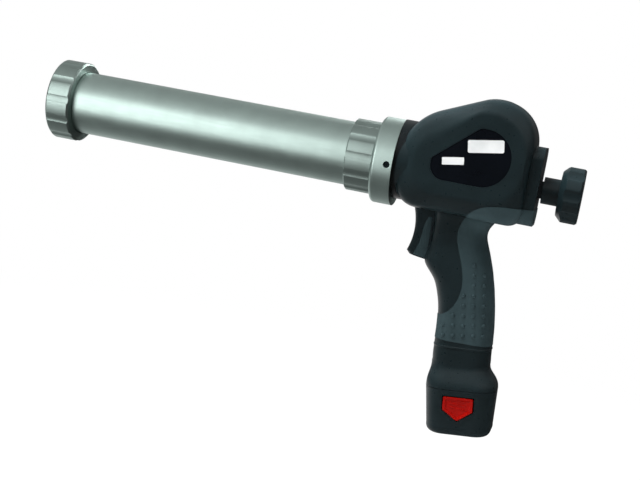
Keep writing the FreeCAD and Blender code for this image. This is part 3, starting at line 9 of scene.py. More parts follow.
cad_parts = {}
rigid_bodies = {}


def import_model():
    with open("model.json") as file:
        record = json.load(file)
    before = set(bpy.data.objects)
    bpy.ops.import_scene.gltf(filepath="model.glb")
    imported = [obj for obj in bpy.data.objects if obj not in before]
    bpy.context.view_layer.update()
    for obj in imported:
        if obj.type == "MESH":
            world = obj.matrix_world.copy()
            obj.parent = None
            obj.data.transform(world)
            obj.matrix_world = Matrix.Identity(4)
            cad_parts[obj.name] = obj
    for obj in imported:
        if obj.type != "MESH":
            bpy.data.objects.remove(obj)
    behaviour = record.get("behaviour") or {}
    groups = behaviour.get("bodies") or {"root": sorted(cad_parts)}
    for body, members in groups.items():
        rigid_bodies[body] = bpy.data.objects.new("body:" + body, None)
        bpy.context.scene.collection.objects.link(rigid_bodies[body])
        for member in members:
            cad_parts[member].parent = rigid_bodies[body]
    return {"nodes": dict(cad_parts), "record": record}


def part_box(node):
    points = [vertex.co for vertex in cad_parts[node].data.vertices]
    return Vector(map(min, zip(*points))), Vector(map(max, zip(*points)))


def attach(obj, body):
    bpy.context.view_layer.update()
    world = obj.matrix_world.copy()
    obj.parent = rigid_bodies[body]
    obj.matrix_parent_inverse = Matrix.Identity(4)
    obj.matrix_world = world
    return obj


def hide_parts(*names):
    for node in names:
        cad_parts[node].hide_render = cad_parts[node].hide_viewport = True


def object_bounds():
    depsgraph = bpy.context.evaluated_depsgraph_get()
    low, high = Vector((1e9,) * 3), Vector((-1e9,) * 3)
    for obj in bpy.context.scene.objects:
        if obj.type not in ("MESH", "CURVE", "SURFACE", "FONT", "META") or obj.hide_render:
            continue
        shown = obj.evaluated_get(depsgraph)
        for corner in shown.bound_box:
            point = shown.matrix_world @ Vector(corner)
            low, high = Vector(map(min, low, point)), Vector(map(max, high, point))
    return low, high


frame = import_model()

bl_info = {
    "name": "Cordless caulking tool",
    "version": (1, 0, 0),
    "blender": (4, 5, 0),
    "location": "3D View > Sidebar > Caulking tool",
    "description": "Dresses the solids of a battery caulking tool with finishes and fine detail",
    "category": "Object",
}

NODE_BODY = {
    node: body
    for body, nodes in frame["record"]["behaviour"]["bodies"].items()
    for node in nodes
}
CAD_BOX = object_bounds()

# Sides of the tool with the sign of their Y.
SIDES = (("left", -1), ("right", 1))
# Points closer than this are one, and faces within this angle are one flat face.
MERGE = 1e-6
FLAT = math.radians(0.5)
# Rays that look for a surface start this far from the middle.
RAY_START = 0.1

# Threads: core radius on barrel and nut, plain run before a thread, foot in pitches, steps a turn.
BARREL_CORE = 0.027
NUT_CORE = 0.0297
THREAD_INSET = 0.001
THREAD_FOOT = 0.7
THREAD_STEPS = 72

# Profiles raised from a disc: rise in parts of the whole height, and width against the last step.
PLUG_STEPS = ((0.9, 1), (0.1, 0.86), (0, 0.6), (-0.12, 0.9))
DOME_STEPS = ((0.55, 0.86), (0.3, 0.7), (0.15, 0.45))
ROUND_CORNERS = 32
DOME_CORNERS = 14

# Screw heads: straight part of the height, width of the top, depth of the socket. The places of
# the screws are read from vertices this close to the tips.
HEAD_STRAIGHT = 0.77
HEAD_TOP = 0.82
SOCKET_DEEP = 0.0015
TIP_DEEP = 0.0001

# The shells' normals follow large faces less than elsewhere, so that their curves stay soft.
SHELL_WEIGHT = 50
# Power of the curve that the rear edge of the painted shade on the neck follows over the height.
NECK_SHADE_BOW = 2.5

# Bead below the grip rubber: middle, rise at the rear and fall at the front, part of the radius
# that is sunk, points round the grip.
BEAD_MIDDLE = Vector((0.3935, 0, -0.1398))
BEAD_SLOPE = 0.0022
BEAD_SUNK = 0.65
BEAD_STEPS = 72

# Grip dots: dot from which rows and columns count, lean of the rows, least share of the surface
# normal across the tool, reach of the test round a dot, most bend within it, depth of a dot's
# foot in the rubber.
DOT_START = Vector((0.3896, 0, -0.1125))
DOT_LEAN = math.radians(-10)
DOT_ROWS = range(-3, 6)
DOT_COLUMNS = range(-4, 5)
DOT_FACING = 0.45
DOT_REACH = 0.003
DOT_BEND = 0.004
DOT_SUNK = 0.00008

# Blank plates on the label: name, middle in X and Z, width, height, corner radius.
PLATES = (
    ("label_plate_large", (0.3830, 0.0268), 0.0289, 0.0102, 0.0014),
    ("label_plate_small", (0.3592, 0.0108), 0.0177, 0.0060, 0.0005),
)
PLATE_TURN = math.radians(9.6)

# Outline of a trigger pad: distance behind the trigger's front and below its top. The round edge
# is given in parts of the thickness.
PAD_OUTLINE = (
    (0.0140, 0.0054), (0.0122, 0.0104), (0.0114, 0.0164), (0.0109, 0.0224), (0.0100, 0.0284),
    (0.0082, 0.0344), (0.0068, 0.0386), (0.0186, 0.0402), (0.0180, 0.0300), (0.0172, 0.0054),
)
PAD_EDGE = 0.35

# Latch buttons: outer faces point this much outward and lie this far from the mid plane; width of
# the panel's floor against its rim; number of ridges, and their round edge in parts of the height.
LATCH_FACING = 0.9
LATCH_INSIDE = 0.02
PANEL_TAPER = 0.94
RIDGES = 3
RIDGE_EDGE = 0.8

# Bare metals. A noise is its scale and detail, and where given its stretch along each axis.
Metal = namedtuple("Metal", "colour patches shades sheen roughness lines relief")


def anodised(colour, stretch):
    """Satin aluminium: fine blasted grain, with faint lines along the working direction."""
    return Metal(colour, (55, 3), (0.94, 1.05), (900, 3, stretch), (0.38, 0.47),
                 (2600, 3, stretch), (0.10, 0.00005))


METALS = {
    "turned_metal": anodised("metal", (2.2, 0.5, 0.5)),
    "drawn_metal": anodised("metal", (0.06, 1.4, 1.4)),
    # Painted shade: cap and nut take the same anodised aluminium at about three quarters of its
    # colour, so that they read less bright.
    "fluted_metal": anodised("fluted", (0.5, 1.2, 1.2)),
    "machined_steel": Metal("steel", (140, 3), (0.86, 1.08), (1500, 2, (1, 0.2, 1)),
                            (0.24, 0.42), (3000, 2, (1, 0.15, 1)), (0.12, 0.00006)),
    "blackened_steel": Metal("rod", (160, 4), (0.8, 1.25), (1500, 2, (0.1, 1, 1)),
                             (0.34, 0.5), (3000, 2, (0.1, 1, 1)), (0.12, 0.00006)),
    "bush_bronze": Metal("bronze", (300, 3), (0.8, 1.1), (1200, 2),
                         (0.28, 0.46), (3500, 2), (0.1, 0.00005)),
}
BRIGHT_METALS = [name for name in METALS if name != "blackened_steel"]

# Plastics, rubbers and foils with the fine grain of their tools.
Moulding = namedtuple("Moulding", "colour roughness grain depth specular")
MOULDINGS = {
    "moulded_black": Moulding("plastic", (0.27, 0.35), 3200, 0.00005, 0.30),
    "moulded_grey": Moulding("inner", (0.40, 0.55), 2600, 0.0001, 0.07),
    "soft_rubber": Moulding("rubber", (0.62, 0.80), 2200, 0.0002, 0.07),
    "piston_rubber": Moulding("seal", (0.5, 0.62), 2400, 0.0001, 0.07),
    "moulded_red": Moulding("latch", (0.30, 0.42), 3000, 0.00006, 0.08),
    "label_foil": Moulding("label", (0.16, 0.26), 1200, 0.00003, 0.15),
    "plate_white": Moulding("plate", (0.34, 0.44), 2000, 0.00004, 0.07),
    "cell_sleeve": Moulding("cell", (0.25, 0.35), 900, 0.00005, 0.07),
}
# Noise and shades of a moulding's colour, noise of its gloss, detail and strength of its grain.
MOULDED_PATCHES = (38, 4)
MOULDED_SHADES = (0.86, 1.14)
MOULDED_SHEEN = (420, 3)
GRAIN_DETAIL = 2
GRAIN_STRENGTH = 0.22

# Sockets of a Mix node that takes colours.
MIX_A, MIX_B, MIX_RESULT = 6, 7, 2
WHITE = (1, 1, 1, 1)

# Grey levels of the world along an axis: place from 0 to 1, and brightness.
SKY_LEVELS = ((0.0, 0.02), (1.0, 0.5), (0.5, 0.03))
FRONT_LEVELS = (
    (0.0, 0.12), (1.0, 0.38), (0.35, 0.06), (0.54, 0.08), (0.68, 0.45), (0.80, 0.72), (0.92, 0.55),
)
BACK_LEVELS = (
    (0.0, 0.2), (1.0, 0.4), (0.22, 0.75), (0.36, 0.85), (0.43, 0.16), (0.56, 0.16), (0.66, 0.38),
)
CORNER_LEVELS = ((0.0, 0.05), (1.0, 0.30), (0.5, 0.05))
WALL_EDGE = ((0.96, 0.0), (0.995, 0.25))
CORNER_EDGE = ((0.42, 0.0), (0.48, 1.0))
ROOM_EDGE = ((0.32, 0.0), (0.68, 1.0))

# Floor: size, roughness, and how its glow for the eye grows with the distance from the tool.
FLOOR_SIZE = 12
FLOOR_ROUGHNESS = 0.9
FLOOR_GLOW = (0.88, 1.0)
FLOOR_FADE = (0.2, 0.9)

# Lamps: name, place, target, width, height, and the stage setting that holds the power.
SHINE_LAMPS = (
    ("shine_light_front", (-0.52, -1.36, 0.02), (0.15, 0, 0), 0.97, 1.65, "shine_watts"),
    ("shine_light_rear", (0.72, 1.32, 0.85), (0.2, 0, 0), 1.35, 0.8, "shine_rear_watts"),
)
ROOM_LAMPS = (
    ("top_light", (-0.05, -0.01, 0.72), (0.3, 0, 0), 0.9, 0.6, "top_watts"),
    ("rear_light", (0.3, 1.1, 0.75), (0.3, 0, 0), 1.5, 0.9, "rear_watts"),
)

# Camera: width of the sensor in millimetres, and how far it sees.
SENSOR_WIDTH = 36
VIEW_END = 30


def colour_property(name, description, default):
    return FloatVectorProperty(name=name, description=description, subtype="COLOR", size=3,
                               min=0, max=1, default=default)


def length_property(name, description, default):
    return FloatProperty(name=name, description=description, subtype="DISTANCE", unit="LENGTH",
                         default=default)


def angle_property(name, description, degrees):
    return FloatProperty(name=name, description=description, subtype="ANGLE",
                         default=math.radians(degrees))


def power_property(name, description, watts):
    return FloatProperty(name=name, description=description, subtype="POWER", default=watts)


class CaulkingToolSizes(bpy.types.PropertyGroup):
    """Sizes of the fine detail that the solids leave out"""

    metal_edge: length_property("Metal edge", "Width of broken edges on the turned metal", 0.0004)
    plastic_edge: length_property("Plastic edge", "Width of the buttons' round edges", 0.0006)
    thread_pitch: length_property("Thread pitch", "Pitch of the threads on barrel and nut", 0.003)
    thread_high: length_property("Thread height", "Height of a thread over its core", 0.0002)
    plug_radius: length_property("Plug radius", "Radius of the collar's spanner hole plug", 0.00272)
    plug_deep: length_property("Plug depth", "Length of the plug", 0.0045)
    plug_sunk: length_property("Plug below the collar", "Plug below the collar's side", 0.0013)
    plug_back: length_property("Plug place", "Axis of the plug in front of the housing", 0.0044)
    plug_low: length_property("Plug below the axis", "Axis of the plug below the barrel's", 0.0021)
    seam_half: length_property("Parting line", "Half width of the housing's parting line", 0.0004)
    # The neck sizes place the painted shade on the housing's neck behind the collar: radius and
    # rise follow the neck itself, while gap, sweep and middle shape the shade's rear edge.
    neck_radius: length_property("Neck radius", "Radius of the housing's neck", 0.0335)
    neck_rise: length_property("Neck rise", "Axis of the neck above the barrel axis", 0.0034)
    neck_shade_gap: length_property("Neck gap", "Least width of the dark neck behind the collar", 0.0022)
    neck_shade_sweep: length_property("Neck sweep", "Extra width of the neck at top and bottom", 0.012)
    neck_shade_low: length_property("Neck middle", "Narrowest point of the neck below the axis", 0.003)
    dot_pitch: length_property("Dot pitch", "Distance between the raised dots on the grip", 0.0083)
    dot_radius: length_property("Dot radius", "Radius of a raised dot", 0.0018)
    dot_high: length_property("Dot height", "Height of a raised dot over the rubber", 0.0013)
    bead_radius: length_property("Bead radius", "Radius of the bead below the grip rubber", 0.0015)
    pad_thick: length_property("Trigger pad", "Thickness of a pad, half of it sunk", 0.0004)
    plate_thick: length_property("Plate thickness", "Thickness of the label's plates", 0.00012)
    panel_edge: length_property("Latch panel edge", "Width of the latch panel's rim", 0.0026)
    panel_deep: length_property("Latch panel depth", "Depth of the latch panel", 0.0008)
    latch_room: length_property("Latch room", "Gap added round a latch button", 0.0006)
    ridge_pitch: length_property("Ridge pitch", "Distance between the ridges on a latch", 0.0032)
    ridge_long: length_property("Ridge length", "Length of a latch ridge", 0.0130)
    ridge_wide: length_property("Ridge width", "Width of a latch ridge", 0.0010)
    ridge_high: length_property("Ridge height", "Height of a latch ridge", 0.0004)
    screw_radius: length_property("Screw radius", "Shank radius of a housing screw", 0.0016)
    screw_head: length_property("Screw head", "Radius of a housing screw's head", 0.0031)
    screw_head_tall: length_property("Screw head height", "Height of a screw's head", 0.0026)
    screw_socket: length_property("Screw socket", "Width of a socket across its corners", 0.0036)


class CaulkingToolColours(bpy.types.PropertyGroup):
    """Colours of the finishes"""

    metal: colour_property("Metal", "Satin anodised aluminium", (0.48, 0.60, 0.56))
    # Fluted: the barrel's aluminium at about three quarters, painted shade that dims cap and nut.
    fluted: colour_property("Fluted metal", "Aluminium of cap and nut", (0.365, 0.455, 0.425))
    steel: colour_property("Steel", "Machined steel", (0.50, 0.51, 0.52))
    rod: colour_property("Rod", "Blackened steel of the toothed rod", (0.085, 0.095, 0.10))
    bronze: colour_property("Bronze", "Bearing bronze and contacts", (0.62, 0.44, 0.20))
    plastic: colour_property("Plastic", "Moulded housing plastic", (0.0100, 0.0187, 0.0214))
    # Neck: painted shade, a darker plastic on the neck just behind the collar, where the collar
    # shades it.
    neck: colour_property("Neck", "Smooth neck behind the collar", (0.0020, 0.0038, 0.0045))
    inner: colour_property("Inner plastic", "Guides and inner mouldings", (0.04, 0.04, 0.043))
    rubber: colour_property("Rubber", "Soft rubber on the grip", (0.035, 0.057, 0.063))
    seal: colour_property("Seal", "Rubber of the piston seal", (0.025, 0.025, 0.025))
    label: colour_property("Label", "Glossy label foil", (0.0030, 0.0042, 0.0065))
    plate: colour_property("Plate", "Blank plates on the label", (0.86, 0.89, 0.89))
    latch: colour_property("Latch", "Latch buttons", (0.33, 0.003, 0.001))
    cell: colour_property("Cell", "Sleeve of the battery cells", (0.20, 0.32, 0.45))
    floor: colour_property("Floor", "Studio floor", (0.70, 0.70, 0.70))


class CaulkingToolStage(bpy.types.PropertyGroup):
    """Camera and light of the studio"""

    lens: FloatProperty(name="Lens", description="Focal length", unit="CAMERA", default=67.5)
    eye: FloatVectorProperty(name="Eye", description="Place of the camera", subtype="XYZ",
                             unit="LENGTH", default=(0.4809, -0.9961, 0.0387))
    azimuth: angle_property("Azimuth", "Turn of the view about the upright axis", 12.75)
    elevation: angle_property("Elevation", "Downward tilt of the view", 6.5)
    roll: angle_property("Roll", "Roll of the view that lifts the nozzle end", 10.35)
    floor_gap: length_property("Floor gap", "Floor below the lowest point of the tool", 0.09)
    shine_watts: power_property("Front shine", "Power of the front light on bare metal", 13.0)
    shine_rear_watts: power_property("Rear shine", "Power of the rear light on bare metal", 18.0)
    top_watts: power_property("Top light", "Power of the overhead light", 31.0)
    rear_watts: power_property("Rear light", "Power of the light from behind", 14.0)


def sizes():
    return bpy.context.scene.caulking_tool_sizes


def colours():
    return bpy.context.scene.caulking_tool_colours


def clear_selection():
    if bpy.context.mode != "OBJECT":
        bpy.ops.object.mode_set(mode="OBJECT")
    bpy.ops.object.select_all(action="DESELECT")


def work_on(piece):
    """Make one piece the only selected one."""
    clear_selection()
    piece.select_set(True)
    bpy.context.view_layer.objects.active = piece


def leave_edit():
    bpy.ops.object.mode_set(mode="OBJECT")


def edit(piece, edges=None, faces=None):
    """Enter edit mode with the edges or faces selected that pass a test, or with everything."""
    work_on(piece)
    bpy.ops.object.mode_set(mode="EDIT")
    bpy.ops.mesh.select_mode(type="FACE" if faces else "EDGE" if edges else "VERT")
    if not (edges or faces):
        bpy.ops.mesh.select_all(action="SELECT")
        return
    bpy.ops.mesh.select_all(action="DESELECT")
    leave_edit()
    test = faces or edges
    for item in piece.data.polygons if faces else piece.data.edges:
        item.select = bool(test(item))
    bpy.ops.object.mode_set(mode="EDIT")


def push_out(shift, scale=(1, 1, 1), centre=(0, 0, 0)):
    """In edit mode, extrude the selected faces by a shift and resize them about a centre."""
    bpy.ops.mesh.extrude_region_move(TRANSFORM_OT_translate={"value": shift})
    bpy.ops.transform.resize(value=scale, center_override=centre)


def modify(piece, kind, **settings):
    """Add a modifier, set it and apply it."""
    modifier = piece.modifiers.new(kind.title(), kind)
    for name, setting in settings.items():
        setattr(modifier, name, setting)
    work_on(piece)
    bpy.ops.object.modifier_apply(modifier=modifier.name)


def round_edges(piece, width, segments, degrees):
    """Bevel the edges that are sharper than an angle."""
    modify(piece, "BEVEL", width=width, segments=segments, limit_method="ANGLE",
           angle_limit=math.radians(degrees), use_clamp_overlap=True)


def smooth(piece, degrees):
    work_on(piece)
    bpy.ops.object.shade_smooth_by_angle(angle=math.radians(degrees))


def even_normals(piece, weight=100):
    """Let large faces keep their own normal, so that they look flat beside their edges."""
    modify(piece, "WEIGHTED_NORMAL", weight=weight, keep_sharp=True)


def settle(piece):
    """Put the place of a piece into its mesh."""
    work_on(piece)
    bpy.ops.object.transform_apply(location=True, rotation=True, scale=True)


def close_up(piece):
    """Merge doubles and turn all faces outward."""
    edit(piece)
    bpy.ops.mesh.remove_doubles(threshold=MERGE)
    bpy.ops.mesh.normals_make_consistent(inside=False)
    leave_edit()


def named(piece, name):
    piece.name = name
    piece.data.name = name
    return piece


def disc(name, corners, radius=1.0, fill="NGON"):
    """A flat round piece in the XY plane, round the origin."""
    clear_selection()
    bpy.ops.mesh.primitive_circle_add(vertices=corners, radius=radius, fill_type=fill)
    return named(bpy.context.object, name)


def block(name, width, depth, height):
    """A box round the origin."""
    clear_selection()
    bpy.ops.mesh.primitive_cube_add(size=1)
    piece = named(bpy.context.object, name)
    piece.scale = (width, depth, height)
    settle(piece)
    return piece


def raised(piece, steps, tall=1.0):
    """Raise a disc along Z by the steps of a profile."""
    edit(piece)
    for rise, grow in steps:
        push_out((0, 0, rise * tall), (grow, grow, 1))
    leave_edit()
    return piece


def joined(pieces, name):
    clear_selection()
    for piece in pieces:
        piece.select_set(True)
    bpy.context.view_layer.objects.active = pieces[0]
    bpy.ops.object.join()
    return named(bpy.context.view_layer.objects.active, name)


def copied(piece, place, normal=None):
    """A copy of a piece with its own mesh, moved to a place and its Z axis turned to a normal."""
    twin = piece.copy()
    twin.data = piece.data.copy()
    bpy.context.scene.collection.objects.link(twin)
    twin.location = place
    if normal:
        twin.rotation_euler = normal.to_track_quat("Z", "Y").to_euler()
    settle(twin)
    return twin


def finished(piece, body, material):
    """Give a new piece its finish and the body that it moves with."""
    piece.data.materials.clear()
    piece.data.materials.append(material)
    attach(piece, body)
    return piece


def skin(node, material, degrees=30, edge=0):
    """A smooth copy that stands for a solid, with its sharp edges broken where edge is given."""
    source = frame["nodes"][node]
    piece = source.copy()
    piece.data = source.data.copy()
    named(piece, node + "_skin")
    for key in list(piece.keys()):
        del piece[key]
    piece.parent = None
    piece.matrix_world = Matrix.Identity(4)
    bpy.context.scene.collection.objects.link(piece)
    work_on(piece)
    if piece.data.has_custom_normals:
        bpy.ops.mesh.customdata_custom_splitnormals_clear()
    edit(piece)
    bpy.ops.mesh.remove_doubles(threshold=MERGE)
    if edge:
        bpy.ops.mesh.dissolve_limited(angle_limit=FLAT)
    leave_edit()
    if edge:
        round_edges(piece, edge, 2, 35)
    smooth(piece, degrees)
    if edge:
        even_normals(piece)
    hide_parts(node)
    return finished(piece, NODE_BODY[node], material)


def paint(nodes, material):
    """Give solids that stay as they are their finish."""
    for node in nodes:
        data = frame["nodes"][node].data
        data.materials.clear()
        data.materials.append(material)


def socket(shader, name, setting):
    shader.inputs[name].default_value = setting


class Nodes:
    """Short ways to add nodes to a tree and to link them."""

    def __init__(self, tree):
        self.tree = tree

    def node(self, kind, **settings):
        node = self.tree.nodes.new(kind)
        for name, setting in settings.items():
            setattr(node, name, setting)
        return node

    def join(self, output, target):
        self.tree.links.new(output, target)

    def axes(self, place):
        """X, Y and Z of a place."""
        parts = self.node("ShaderNodeSeparateXYZ")
        self.join(place, parts.inputs["Vector"])
        return parts.outputs

    def ranged(self, value, low, high, start=0.3, end=0.7, ease="LINEAR"):
        """A value between start and end as one between low and high."""
        span = self.node("ShaderNodeMapRange", interpolation_type=ease)
        limits = {"From Min": start, "From Max": end, "To Min": low, "To Max": high}
        for name, number in limits.items():
            socket(span, name, number)
        self.join(value, span.inputs["Value"])
        return span.outputs["Result"]

    def calc(self, operation, first, second=0.0):
        """A sum of links and plain numbers."""
        node = self.node("ShaderNodeMath", operation=operation)
        for target, value in zip(node.inputs, (first, second)):
            if isinstance(value, float):
                target.default_value = value
            else:
                self.join(value, target)
        return node.outputs["Value"]

    def ramp(self, value, levels):
        """Grey levels along a value from -1 to 1."""
        shades = self.node("ShaderNodeValToRGB")
        stops = shades.color_ramp.elements
        for index, (position, level) in enumerate(levels):
            stop = stops[index] if index < 2 else stops.new(position)
            stop.position = position
            stop.color = (level, level, level, 1)
        self.join(self.ranged(value, 0, 1, -1, 1), shades.inputs["Fac"])
        return shades.outputs["Color"]

    def blend(self, factor, first, second):
        """A colour between two, each of them a link or a plain colour."""
        mix = self.node("ShaderNodeMix", data_type="RGBA")
        self.join(factor, mix.inputs["Factor"])
        for target, colour in ((mix.inputs[MIX_A], first), (mix.inputs[MIX_B], second)):
            if isinstance(colour, tuple):
                target.default_value = colour
            else:
                self.join(colour, target)
        return mix.outputs[MIX_RESULT]

    def shader_blend(self, factor, first, second):
        mix = self.node("ShaderNodeMixShader")
        for target, output in zip(mix.inputs, (factor, first, second)):
            self.join(output, target)
        return mix.outputs["Shader"]


class Finish(Nodes):
    """A node material built step by step on Object coordinates."""

    def __init__(self, name, colour, metal=0.0, specular=0.5):
        self.material = bpy.data.materials.new(name)
        self.material.use_nodes = True
        super().__init__(self.material.node_tree)
        self.shader = self.tree.nodes["Principled BSDF"]
        self.colour = tuple(colour)
        socket(self.shader, "Metallic", metal)
        socket(self.shader, "Specular IOR Level", specular)
        self.place = self.node("ShaderNodeTexCoord").outputs["Object"]

    def noise(self, scale, detail, stretch=None):
        """A noise pattern; stretch multiplies its frequency along each axis."""
        noise = self.node("ShaderNodeTexNoise")
        socket(noise, "Scale", scale)
        socket(noise, "Detail", detail)
        place = self.place
        if stretch:
            mapping = self.node("ShaderNodeMapping")
            socket(mapping, "Scale", stretch)
            self.join(place, mapping.inputs["Vector"])
            place = mapping.outputs["Vector"]
        self.join(place, noise.inputs["Vector"])
        return noise.outputs["Fac"]

    def tint(self, value, low, high):
        """Colour that wanders between two shades of the finish."""
        shades = [(*(min(1, part * level) for part in self.colour), 1) for level in (low, high)]
        self.join(self.blend(self.ranged(value, 0, 1), *shades), self.shader.inputs["Base Color"])

    def gloss(self, value, low, high):
        self.join(self.ranged(value, low, high), self.shader.inputs["Roughness"])

    def relief(self, value, strength, distance):
        bump = self.node("ShaderNodeBump")
        socket(bump, "Strength", strength)
        socket(bump, "Distance", distance)
        self.join(value, bump.inputs["Height"])
        self.join(bump.outputs["Normal"], self.shader.inputs["Normal"])


def metal(name):
    """A bare metal, made at its first use."""
    made = bpy.data.materials.get(name)
    if made:
        return made
    look = METALS[name]
    finish = Finish(name, getattr(colours(), look.colour), metal=1.0)
    finish.tint(finish.noise(*look.patches), *look.shades)
    finish.gloss(finish.noise(*look.sheen), *look.roughness)
    finish.relief(finish.noise(*look.lines), *look.relief)
    return finish.material


def moulding(name, look):
    finish = Finish(name, getattr(colours(), look.colour), specular=look.specular)
    finish.tint(finish.noise(*MOULDED_PATCHES), *MOULDED_SHADES)
    finish.gloss(finish.noise(*MOULDED_SHEEN), *look.roughness)
    finish.relief(finish.noise(look.grain, GRAIN_DETAIL), GRAIN_STRENGTH, look.depth)
    return finish


def moulded(name):
    """A plastic, rubber or foil, made at its first use."""
    return bpy.data.materials.get(name) or moulding(name, MOULDINGS[name]).material


def housing_plastic():
    """The black plastic with the parting line of the two halves, and painted shade that darkens the
    neck behind the collar.
    """
    name = "moulded_housing"
    made = bpy.data.materials.get(name)
    if made:
        return made
    size = sizes()
    finish = moulding(name, MOULDINGS["moulded_black"])
    calc, ranged, inputs = finish.calc, finish.ranged, finish.shader.inputs
    along, across, up = finish.axes(finish.place)

    line = finish.node("ShaderNodeBump")
    socket(line, "Distance", size.seam_half)
    groove = ranged(calc("ABSOLUTE", across), 0, 1, 0, size.seam_half, "SMOOTHSTEP")
    finish.join(groove, line.inputs["Height"])
    grain = inputs["Normal"].links[0].from_node
    finish.join(line.outputs["Normal"], grain.inputs["Normal"])

    # Painted shade: the base colour turns to the dark neck colour inside the neck's radius and in
    # front of a rear edge that bows back towards top and bottom.
    rise = calc("SUBTRACT", up, size.neck_rise)
    square = calc("ADD", calc("MULTIPLY", across, across), calc("MULTIPLY", rise, rise))
    rim = size.neck_radius + size.seam_half
    beyond = ranged(calc("SQRT", square), 0, 1, size.neck_radius, rim)
    height = calc("ABSOLUTE", calc("ADD", up, size.neck_shade_low))
    bow = calc("POWER", calc("DIVIDE", height, size.neck_radius), NECK_SHADE_BOW)
    back = calc("SUBTRACT", along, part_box("housing_left")[0].x + size.neck_shade_gap)
    past = calc("SUBTRACT", back, calc("MULTIPLY", bow, size.neck_shade_sweep))
    behind = ranged(past, 0, 1, 0, 2 * size.seam_half)
    plain = inputs["Base Color"].links[0].from_socket
    shade = finish.blend(calc("MAXIMUM", beyond, behind), (*colours().neck, 1), plain)
    finish.join(shade, inputs["Base Color"])
    return finish.material


def thread(name, start, end, core, body):
    """A screw thread round the barrel axis as one ridge that winds along X from start to end."""
    pitch, high = sizes().thread_pitch, sizes().thread_high
    foot = pitch * THREAD_FOOT
    piece = disc(name, 3, fill="NOTHING")
    low, crest = core - high, core + high
    corners = ((start, 0, low), (start + foot, 0, low), (start + foot / 2, 0, crest))
    for vertex, corner in zip(piece.data.vertices, corners):
        vertex.co = corner
    turns = int((end - start - foot) / pitch)
    modify(piece, "SCREW", axis="X", angle=math.tau, screw_offset=pitch, iterations=turns,
           steps=THREAD_STEPS, render_steps=THREAD_STEPS, use_merge_vertices=False)
    edit(piece)
    bpy.ops.mesh.select_all(action="DESELECT")
    bpy.ops.mesh.select_non_manifold()
    bpy.ops.mesh.edge_face_add()
    leave_edit()
    close_up(piece)
    smooth(piece, 35)
    return finished(piece, body, metal("turned_metal"))


class CAULKINGTOOL_OT_barrel(bpy.types.Operator):
    """Barrel, front cap and clamp nut in satin aluminium with their threads, and the nozzle ring"""

    bl_idname = "caulking_tool.barrel"
    bl_label = "Barrel"

    def execute(self, context):
        edge = sizes().metal_edge
        skin("barrel_tube", metal("drawn_metal"), 30, edge / 2)
        skin("front_cap", metal("fluted_metal"), 28, edge)
        skin("barrel_nut", metal("fluted_metal"), 28, edge)
        skin("nozzle_ring", moulded("moulded_black"), 30, edge)
        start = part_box("barrel_tube")[0].x + THREAD_INSET
        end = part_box("front_cap")[1].x - 2 * THREAD_INSET
        thread("barrel_thread", start, end, BARREL_CORE, "barrel")
        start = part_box("collar")[0].x + THREAD_INSET
        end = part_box("barrel_nut")[1].x - edge / 2
        thread("nut_thread", start, end, NUT_CORE, "clamp_nut")
        return {"FINISHED"}


class CAULKINGTOOL_OT_collar(bpy.types.Operator):
    """Collar in front of the housing with the plug of its spanner hole, and the rod's guides"""

    bl_idname = "caulking_tool.collar"
    bl_label = "Collar"

    def plug(self):
        """A black plug that closes the spanner hole a little below the collar's side."""
        size = sizes()
        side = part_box("collar")[0].y
        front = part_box("housing_left")[0].x
        piece = disc("spanner_hole_plug", ROUND_CORNERS, size.plug_radius)
        raised(piece, PLUG_STEPS, size.plug_deep)
        piece.rotation_euler = (math.pi / 2, 0, 0)
        inner_end = side + size.plug_sunk + size.plug_deep
        piece.location = (front - size.plug_back, inner_end, -size.plug_low)
        settle(piece)
        close_up(piece)
        smooth(piece, 30)
        finished(piece, "base", moulded("moulded_black"))

    def execute(self, context):
        skin("collar", metal("turned_metal"), 30, sizes().metal_edge)
        self.plug()
        for node in ("rod_guide_front", "rod_guide_rear"):
            skin(node, moulded("moulded_grey"))
        return {"FINISHED"}


